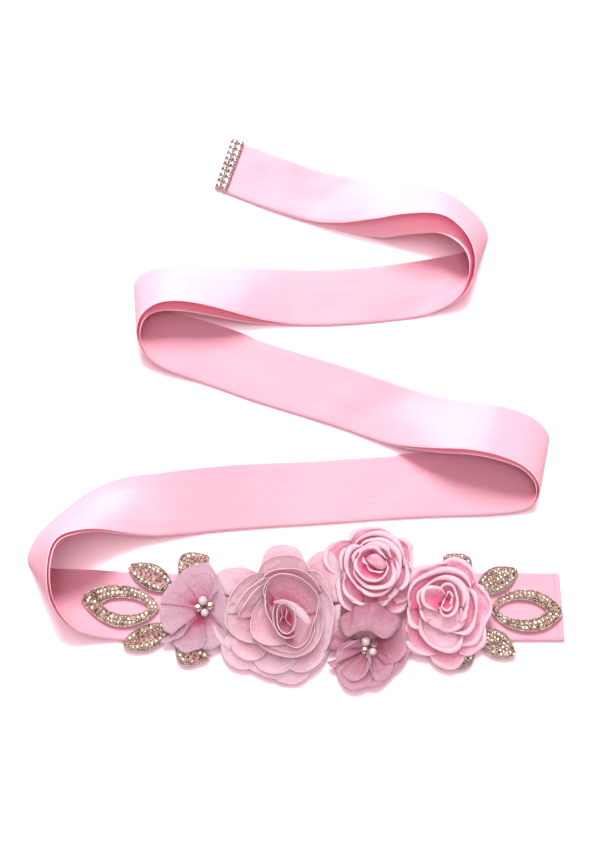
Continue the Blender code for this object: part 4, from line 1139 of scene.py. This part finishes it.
def rolled_rim(face, reach, sizes, turn):
    """Rows that roll a face's rim under, by a turn in degrees."""
    outward = unit(face[-1] - face[-2])
    flat = unit(reach * (1.0, 1.0, 0.0))
    along = unit(np.gradient(face[-1], axis=0))
    under = unit(np.cross(outward, along))
    rise = np.clip(outward[:, 2], -1.0, 1.0)[:, None]
    wanted = flat * rise - np.array([0.0, 0.0, 1.0]) * np.sqrt(1.0 - rise**2)
    under = under * np.where(np.sum(under * wanted, axis=1, keepdims=True) < 0.0, -1.0, 1.0)
    rows = []
    for i in range(1, ROLL_ROWS + 1):
        angle = math.radians(turn) * i / ROLL_ROWS
        rows.append(face[-1] + sizes * (outward * math.sin(angle) + under * (1.0 - math.cos(angle))))
    return np.array(rows)


def painted_petal_shade_and_light(form, cloth):
    """Painted shade and light: how pale each point is painted, little at the root and the sides
    where shade falls, and full on the roll.
    """
    t = np.linspace(0.0, 1.0, PETAL_COLUMNS)
    first, last = PALE_ROOTS.get(form, 0.0), DEEP_RIMS.get(form, PALE_RIM)
    sides = np.exp(-((t / SIDE_WIDTH) ** 2)) + np.exp(-(((1.0 - t) / SIDE_WIDTH) ** 2))
    way_out = np.linspace(0.0, 1.0, PETAL_ROWS)[:, None] ** PAINTED_SHADE_CURVE[cloth]
    face_depth = (first + (last - first) * way_out) * (1.0 - PAINTED_SIDE_SHADE[cloth] * sides)
    return np.concatenate([face_depth, np.full((ROLL_ROWS, PETAL_COLUMNS), last + ROLL_PALER)])


def petal_lattice(form, roll, root, rim, cloth, chance):
    """The middle surface of a petal in mm, from the root over the face to the rolled rim."""

    def shift():
        return chance.uniform(0.0, WAVE_SHIFT)

    count, fold_depth, wave, tilt, corner = PETAL_FOLDS[cloth]
    roll = roll * ROLL_SIZE[cloth]
    t = np.linspace(0.0, 1.0, PETAL_COLUMNS)
    edge = curve_through(rim, t)
    middle = edge.mean(axis=0)
    ends = np.sin(math.pi * t) ** 0.5
    edge[:, 2] += tilt * (2.0 * t - 1.0) ** 3
    for turns in RIM_WAVES:
        edge[:, 2] += wave / turns * ends * np.sin(turns * math.pi * t * 1.3 + shift())
        aside = 0.5 * wave / turns * ends * np.sin(turns * 4.0 * t + shift())
        edge[:, :2] += aside[:, None] * unit(edge[:, :2])
    if np.ndim(root) == 1:
        spread = DOME_SPREAD if form == "dome" else ROOT_SPREAD
        foot = np.array(root) + spread * (edge - middle) * (1.0, 1.0, 0.3)
    else:
        foot = curve_through(root, t)
    corners = np.abs(np.sin(CORNER_PACE * t + chance.uniform(0.0, 3.1))) - CORNER_LEVEL
    inward = 0.5 * roll - corner * ends * corners
    edge = edge - inward[:, None] * unit((edge - foot) * (1.0, 1.0, 0.0))
    face = petal_face(form, foot, edge)
    v = np.linspace(0.0, 1.0, PETAL_ROWS)[:, None]
    size = SWELL_SIZE * np.linalg.norm(np.diff(edge, axis=0), axis=1).sum()
    start = shift()
    pleat = np.sin(2.0 * math.pi * count * (t + 0.05 * np.sin(5.0 * t + start)) + start)
    lift = fold_depth * FORM_FOLDS.get(form, 1.0) * pleat * (np.sin(math.pi * v) ** 0.8)
    for across, out in FACE_SWELLS:
        lift = lift + SWELL_HEIGHT * size * np.sin(across * 3.0 * t + out * 4.0 * v + shift()) * v
    face = face + lattice_normals(face) * lift[..., None]
    uneven = 1.0 + ROLL_UNEVEN[0] * np.sin(ROLL_UNEVEN[1] * t + shift())
    growth, least = ROLL_ENDS
    sizes = roll * uneven * np.clip(growth * t, least, 1.0) * np.clip(growth * (1.0 - t), least, 1.0)
    return np.concatenate([face, rolled_rim(face, edge - foot, sizes[:, None], ROLL_TURN[cloth])])


def shell(lattice, thickness):
    """Points and faces of a thin closed shell round a lattice of points."""
    rows, columns = lattice.shape[:2]
    stand_off = 0.5 * thickness * lattice_normals(lattice)
    points = np.concatenate([(lattice + stand_off).reshape(-1, 3), (lattice - stand_off).reshape(-1, 3)])
    front = lattice_faces(rows, columns)
    index = np.arange(rows * columns).reshape(rows, columns)
    border = np.concatenate([index[0, :-1], index[:-1, -1], index[-1, :0:-1], index[:0:-1, 0]])
    after = np.roll(border, -1)
    total = rows * columns
    sides = np.stack([border, border + total, after + total, after], axis=-1)
    return points, np.concatenate([front[:, ::-1], front + total, sides[:, ::-1]])


def spans(lattice, axis):
    """Mean distances from a lattice's first row or column to each of them."""
    first = np.take(lattice, [0], axis=axis)
    steps = np.linalg.norm(np.diff(lattice, axis=axis, prepend=first), axis=2)
    return np.cumsum(steps.mean(axis=1 - axis))


def make_tier(tier):
    """All petals of one tier, each cut round and gathered at its root."""
    flower = next(name for name in FLOWERS if tier.startswith(name))
    x, y, cloth = FLOWERS[flower]
    chance = random.Random(tier)
    points, faces, uvs, depths, tints = [], [], [], [], []
    for form, roll, root, *rim in PETALS[tier]:
        lattice = petal_lattice(form, roll, root, rim, cloth, chance) * MM + np.array(place(x, y))
        shape, joined = shell(lattice, PETAL_THICKNESS[cloth] * MM)
        grid = pairs(spans(lattice, 0), spans(lattice, 1)) + chance.random()
        faces.append(joined + sum(len(part) for part in points))
        points.append(shape)
        uvs += [grid, grid]
        # Painted shade and light from root to rim
        depths.append(np.tile(painted_petal_shade_and_light(form, cloth).ravel(), 2))
        tints.append(np.full(len(shape), chance.uniform(-1.0, 1.0)))
    values = {"depth": np.concatenate(depths), "tint": np.concatenate(tints)}
    points, faces, uvs = (np.concatenate(parts) for parts in (points, faces, uvs))
    cup = add_mesh(f"{tier}_cloth", points, faces, cloth, uvs, values)
    belongs(cup, PETAL_SLOTS[cloth], tier)


# Beads and stones


def turned(profile, sides, closed):
    """Points and faces of a turned form from (radius, height, twist in half steps) rings."""
    rings = []
    for radius, height, twist in profile:
        angle = 2.0 * math.pi * (np.arange(sides) + 0.5 * twist) / sides
        x, y = radius * np.cos(angle), radius * np.sin(angle)
        rings.append(np.stack([x, y, np.full(sides, height)], axis=-1))
    faces = lattice_faces(len(rings), sides, loop_rows=closed, loop_columns=True).tolist()
    if not closed:
        faces.append(list(range(sides))[::-1])
        faces.append([(len(rings) - 1) * sides + j for j in range(sides)])
    return np.concatenate(rings), faces


def box_parts(low, high):
    x0, y0, z0 = low
    x1, y1, z1 = high
    points = [(x, y, z) for z in (z0, z1) for y in (y0, y1) for x in (x0, x1)]
    faces = [[0, 2, 3, 1], [4, 5, 7, 6], [0, 1, 5, 4], [1, 3, 7, 5], [3, 2, 6, 7], [2, 0, 4, 6]]
    return np.array(points, dtype=float), faces


def seed_bead():
    profile = (
        (0.28, 0.70, 0), (0.66, 0.80, 0), (0.95, 0.42, 0), (1.0, 0.0, 0),
        (0.95, -0.42, 0), (0.66, -0.80, 0), (0.28, -0.70, 0),
    )
    points, faces = turned(profile, 9, closed=True)
    return points, faces, ["bead"] * len(faces)


def set_stone():
    """A cut stone of unit radius in a cup with four claws. Its crown is cut in two rows."""
    crown = ((1.0, 0.45, 1), (0.80, 0.95, 0), (0.50, 1.20, 1))
    points, faces = turned(crown, 8, closed=False)
    faces = faces[:-2] + faces[-1:]
    kinds = ["stone"] * len(faces)
    setting = ((1.16, 0.0, 0), (1.22, 0.30, 0), (1.12, 0.62, 0), (0.98, 0.55, 0))
    cup, cup_faces = turned(setting, 12, closed=False)
    parts = [(cup, cup_faces[:-1])]
    for k in range(4):
        claw, claw_faces = box_parts((0.66, -0.13, 0.45), (1.14, 0.13, 0.86))
        claw[claw[:, 2] > 0.5, 0] -= 0.10
        angle = 0.5 * math.pi * k + 0.39
        sine, cosine = math.sin(angle), math.cos(angle)
        parts.append((claw @ np.array([[cosine, sine, 0], [-sine, cosine, 0], [0, 0, 1]]), claw_faces))
    for more, more_faces in parts:
        faces += [[i + len(points) for i in face] for face in more_faces]
        kinds += ["silver"] * len(more_faces)
        points = np.concatenate([points, more])
    return points, faces, kinds


def drilled_pearl():
    """A pearl of unit radius that is a little out of round, with its drilled hole on a thread."""
    hole, squash, cap, rings = 0.12, 0.985, 7.0, 14
    profile = [(0.10, 0.90, 0), (hole, squash, 0)]
    for i in range(1, rings):
        angle = math.radians(90.0 - cap - i * (180.0 - 2.0 * cap) / rings)
        profile.append((math.cos(angle) * 1.01, math.sin(angle) * squash, 0))
    profile += [(hole, -squash, 0), (0.10, -0.90, 0)]
    points, faces = turned(profile[::-1], 28, closed=False)
    return points, faces, ["pearl"] * len(faces)


class Trimming:
    """Beads and stones that are gathered into one object."""

    def __init__(self):
        self.points = []
        self.faces = []
        self.kinds = []
        self.tints = []
        self.count = 0

    def add(self, template, centre, axes, scale, tint):
        points, faces, kinds = template
        placed = np.asarray(centre) + (points * scale) @ np.array(axes)
        self.faces += [[i + self.count for i in face] for face in faces]
        self.kinds += kinds
        self.points.append(placed)
        self.tints.append(np.full(len(points), tint))
        self.count += len(points)

    def build(self, name, finishes):
        order = list(finishes)
        kinds = [order.index(kind) for kind in self.kinds]
        values = {"tint": np.concatenate(self.tints)}
        sharp = [kind for kind in order if "stone" in kind]
        return add_mesh(name, np.concatenate(self.points), self.faces, order, None, values, kinds, sharp)


def make_bead_centre(flower):
    x, y = FLOWERS[flower][:2]
    seat, turn = BEAD_MIDDLES[flower]
    for name, kind, radius, angle in BEADS:
        angle = math.radians(angle + turn)
        spot = place(x + BEAD_RING * math.cos(angle), y + BEAD_RING * math.sin(angle), seat + radius)
        trimming = Trimming()
        if kind == "pearl":
            tilt = Matrix.Rotation(math.radians(PEARL_LEAN), 3, "X") @ Matrix.Rotation(angle, 3, "Z")
            trimming.add(drilled_pearl(), spot, np.array(tilt), radius * MM, 0.5)
            made = trimming.build(f"{flower}_{name}_bead", ["pearl"])
        else:
            tilt = Matrix.Rotation(math.radians(STONE_LEAN), 3, "X")
            low = spot - Vector((0.0, 0.0, radius * MM))
            points, faces, kinds = set_stone()
            tall = (points * (1.0, 1.0, STONE_HEIGHT), faces, kinds)
            trimming.add(tall, low, np.array(tilt), STONE_SIZE * radius * MM, 0.6)
            made = trimming.build(f"{flower}_{name}_set", ["stone", "silver"])
        belongs(made, kind, f"{flower}_{name}")


# The appliques


def face_frames(distances, across, over):
    """Points over the upper run, and the ways back and up there."""
    points = ribbon_points(distances, across, 1, over)
    ahead = ribbon_points(distances, across + 0.01, 1, over)
    return points, unit(ahead - points), ribbon_frame(distances, across)[1]


def leg_frames(x, y, height):
    """Points over the front leg, from flat places in mm, and the ways along, back and up there."""
    x, y, height = (np.asarray(part, dtype=float) for part in np.broadcast_arrays(x, y, height))
    distances = RUN_LENGTH - (SECTIONS[-1][0] - x) * MM
    across = (y - SECTIONS[-1][1]) * MM / RIBBON_WIDTH
    points, back, up = face_frames(distances, across, 0.5 * WALL + (LEAF_SEAT + height) * MM)
    return points, unit(np.cross(back, up)), back, up


def pointed(angle):
    sine = np.sin(angle)
    return np.sign(sine) * np.abs(sine) ** LOOP_POINT


def loop_place(name, share, angle):
    """A place on a loop: share 0 at the opening and 1 at the outer edge."""
    x, y, length, width, open_x, open_y, open_length, open_width, turn = LOOPS[name]
    turn = math.radians(turn)
    along = (open_length + share * (length - open_length)) * np.cos(angle)
    aside = (open_width + share * (width - open_width)) * pointed(angle)
    right = open_x + share * (x - open_x) + along * math.cos(turn) - aside * math.sin(turn)
    back = open_y + share * (y - open_y) + along * math.sin(turn) + aside * math.cos(turn)
    return right, back


def leaf_place(name, part, share):
    """A place on a leaf: part runs from root to tip, share from side to side."""
    root_x, root_y, tip_x, tip_y, width, bend = LEAVES[name]
    length = math.hypot(tip_x - root_x, tip_y - root_y)
    side_x, side_y = -(tip_y - root_y) / length, (tip_x - root_x) / length
    first, last = LEAF_ENDS
    bulge = np.sin(math.pi * (first + (last - first) * part)) ** LEAF_ROUND
    aside = bend * np.sin(math.pi * part) + 0.5 * width * bulge * share
    right = root_x + (tip_x - root_x) * part + side_x * aside
    back = root_y + (tip_y - root_y) * part + side_y * aside
    return right, back


def spaced(right, back, pitch, closed):
    """Places at a steady pitch along a line, and the way the line runs there."""
    line = np.stack([right, back], axis=-1)
    if closed:
        line = np.concatenate([line, line[:1]])
    strides = np.concatenate([[0.0], np.cumsum(np.linalg.norm(np.diff(line, axis=0), axis=1))])
    count = max(int(strides[-1] / pitch), 2)
    at = np.linspace(0.0, strides[-1], count, endpoint=not closed)
    ahead = np.minimum(at + 0.3, strides[-1])
    x, y = (np.interp(at, strides, line[:, axis]) for axis in (0, 1))
    ahead_x, ahead_y = (np.interp(ahead, strides, line[:, axis]) for axis in (0, 1))
    return x, y, np.arctan2(ahead_y - y, ahead_x - x)


def bead_leaf(name, rows, place_in, tries, closed):
    """Bead and stone work over one leaf: rows of places with a kind and radius each, then beads
    strewn where there is room left."""
    chance = random.Random(name)
    trimming = Trimming()
    points, faces, kinds = seed_bead()
    templates = {
        "seed": (points, faces, kinds),
        "clear": (points, faces, ["clear_bead"] * len(kinds)),
        "silver": (points, faces, ["silver"] * len(kinds)),
        "stone": set_stone(),
    }
    taken = []

    def sew(kind, x, y, heading, radius):
        if any((x - a) ** 2 + (y - b) ** 2 < (NEARNESS * (radius + r)) ** 2 for a, b, r in taken):
            return
        height = STONE_FOOT if kind == "stone" else radius
        centre, along, back, up = (part[0] for part in leg_frames([x], [y], [height]))
        first = along * math.cos(heading) + back * math.sin(heading)
        if kind == "stone":
            ahead, aside = (chance.uniform(-tilt, tilt) for tilt in STONE_TILTS)
            first = unit(first + up * ahead)
            upward = unit(np.cross(first, np.cross(up, first)) + back * aside)
            axes = [first, np.cross(upward, first), upward]
        else:
            axes = [np.cross(up, first), up, first]
        tint = min(max(chance.gauss(0.5, TINT_SPREAD), 0.0), 1.0)
        size = radius * chance.uniform(*BEAD_SIZES) * MM
        trimming.add(templates[kind], centre, axes, size, tint)
        taken.append((x, y, radius))

    for places, kind, radius in rows:
        pitch = (STONE_PITCH if kind == "stone" else BEAD_PITCH) * radius
        for x, y, heading in zip(*spaced(*places, pitch, closed)):
            sew(kind, x, y, heading, radius)
    for _ in range(tries):
        x, y = place_in(chance.random(), chance.random())
        sew("seed", float(x), float(y), chance.uniform(0.0, 3.1), FILL_RADIUS)
    beads = trimming.build(f"{name}_beads", ["bead", "clear_bead", "stone", "silver"])
    belongs(beads, "beadwork", name)


def make_net(name, right, back, length, width):
    """The tulle that a leaf's beads are sewn to."""
    points = leg_frames(right, back, np.full(right.shape, -NET_DEPTH))[0]
    shape, faces = shell(points, NET_THICKNESS * MM)
    grid = np.stack([right, back], axis=-1).reshape(-1, 2) * MM
    net = add_mesh(f"{name}_net", shape, faces, "net", np.concatenate([grid, grid]))
    belongs(net, "beadwork")


def make_appliques():
    angle = np.linspace(0.0, 2.0 * math.pi, 96, endpoint=False)
    share_line, angle_line = np.linspace(0.02, 0.98, 6), np.linspace(0.0, 2.0 * math.pi, 97)
    for name, values in LOOPS.items():
        rows = [(loop_place(name, share, angle), kind, radius) for share, kind, radius in LOOP_ROWS]

        def place_in(first, second, name=name):
            return loop_place(name, 0.15 + 0.70 * first, 2.0 * math.pi * second)

        bead_leaf(name, rows, place_in, FILL_TRIES[name.split("_")[0]] // 2, closed=True)
        grid = np.meshgrid(share_line, angle_line, indexing="ij")
        make_net(name, *loop_place(name, *grid), 2.0 * values[2], 2.0 * values[3])
    part = np.linspace(0.0, 1.0, 60)
    part_line, share_line = np.linspace(0.0, 1.0, 16), np.linspace(-0.96, 0.96, 9)
    for name, (root_x, root_y, tip_x, tip_y, width, _) in LEAVES.items():
        side = name.split("_")[0]
        rows = []
        for share, kind, radius in LEAF_ROWS[side]:
            rows += [(leaf_place(name, part, way), kind, radius) for way in sorted({-share, share})]

        def place_in(first, second, name=name):
            return leaf_place(name, first, 1.7 * second - 0.85)

        bead_leaf(name, rows, place_in, FILL_TRIES[side], closed=False)
        grid = np.meshgrid(part_line, share_line, indexing="ij")
        length = math.hypot(tip_x - root_x, tip_y - root_y)
        make_net(name, *leaf_place(name, *grid), length, width)


def make_tail_band():
    """Columns of set stones on a woven strip across the tail."""
    points, faces, kinds = set_stone()
    kinds = ["dark_stone" if kind == "stone" else kind for kind in kinds]
    template = (points * (1.0, 1.0, BAND_FLATNESS), faces, kinds)
    chance = random.Random(4)
    trimming = Trimming()
    height = np.array([0.5 * WALL + STONE_SEAT])
    for a in (np.arange(BAND_COLUMNS) + 0.5) / BAND_COLUMNS:
        for b in (np.arange(BAND_ROWS) + 0.5) / BAND_ROWS:
            frames = face_frames(np.array([BAND_INSET + a * BAND_WIDTH]), np.array([b]), height)
            centre, back, up = (part[0] for part in frames)
            axes = [np.cross(back, up), back, up]
            trimming.add(template, centre, axes, BAND_STONE * MM, chance.uniform(0.2, 0.9))
    stones = trimming.build("tail_band_stones", ["dark_stone", "silver"])
    belongs(stones, "stone", "tail_stone_band")
    distances = BAND_INSET + np.linspace(0.0, BAND_WIDTH, 9)
    grid_s, grid_a = np.meshgrid(distances, np.linspace(0.01, 0.99, 37), indexing="ij")
    points = ribbon_points(grid_s, grid_a, 1, 0.5 * WALL + STRIP_SEAT)
    shape, faces = shell(points, STRIP_THICKNESS)
    grid = np.stack([grid_s, grid_a * RIBBON_WIDTH], axis=-1).reshape(-1, 2)
    strip = add_mesh("tail_band_strip", shape, faces, "net", np.concatenate([grid, grid]))
    belongs(strip, "stone")


# The scene


def make_floor():
    mesh = bpy.data.meshes.new("floor")
    corners = [(x * FLOOR_EDGE, y * FLOOR_EDGE, 0) for x, y in ((-1, -1), (1, -1), (1, 1), (-1, 1))]
    mesh.from_pydata(corners, [], [(0, 1, 2, 3)])
    paper = Shader("floor_paper", Roughness=0.9, Specular_IOR_Level=0.1, Base_Color=(*FLOOR_TINT, 1.0))
    mesh.materials.append(paper.material)
    floor = bpy.data.objects.new("floor", mesh)
    bpy.context.scene.collection.objects.link(floor)
    return floor


def aim(thing, back, spot):
    """Put a light or the camera at a spot, with its back to a direction."""
    thing.location = spot
    thing.rotation_mode = "QUATERNION"
    thing.rotation_quaternion = back.to_track_quat("Z", "Y")
    bpy.context.scene.collection.objects.link(thing)


def make_light(name, direction, distance, size, power, colour):
    """A square soft light that looks at the middle of the object."""
    azimuth, elevation = (math.radians(value) for value in direction)
    flat = math.cos(elevation)
    out = Vector((math.sin(azimuth) * flat, math.cos(azimuth) * flat, math.sin(elevation)))
    lamp = bpy.data.lights.new(name, "AREA")
    lamp.shape = "SQUARE"
    lamp.size = size
    lamp.energy = power
    lamp.color = colour
    thing = bpy.data.objects.new(name, lamp)
    aim(thing, out, out * distance)
    return thing


def light_only(lamp, reach, shown):
    """Light only these objects, or all but these."""
    lit = bpy.data.collections.new(f"{lamp.name}_lit")
    for thing in shown:
        lit.objects.link(thing)
    for entry in lit.collection_objects:
        entry.light_linking.link_state = reach
    lamp.light_linking.receiver_collection = lit


def make_studio(ribbon):
    """The floor, the world, the lights and the camera."""
    things = {"floor": make_floor(), "ribbon": ribbon}
    world = bpy.data.worlds.new("studio")
    world.use_nodes = True
    background = world.node_tree.nodes["Background"]
    background.inputs["Color"].default_value = (*WORLD_TINT, 1.0)
    background.inputs["Strength"].default_value = WORLD_STRENGTH
    bpy.context.scene.world = world
    bpy.context.scene.view_settings.view_transform = "Standard"
    lamps = {}
    for name, *values, reach, shown in LIGHTS:
        lamps[name] = make_light(name, *values)
        if shown:
            light_only(lamps[name], reach, [things[each] for each in shown])
    lamps["ribbon_light"].visible_glossy = False
    lamps["sheen_light"].visible_diffuse = False
    lamps["sheen_light"].visible_transmission = False
    lens = bpy.data.cameras.new("camera")
    lens.sensor_width = SENSOR
    lens.lens = SENSOR * LENS_PIXELS / FRAME_HEIGHT
    camera = bpy.data.objects.new("camera", lens)
    back = Vector((0.0, -math.cos(CAMERA_TILT), math.sin(CAMERA_TILT)))
    aim(camera, back, back * CAMERA_DISTANCE - Vector((ORIGIN_X, ORIGIN_Y, 0.0)))
    bpy.context.scene.camera = camera


make_studio(make_ribbon())
for tier_name in PETALS:
    make_tier(tier_name)
for bloom in BEAD_MIDDLES:
    make_bead_centre(bloom)
make_appliques()
make_tail_band()
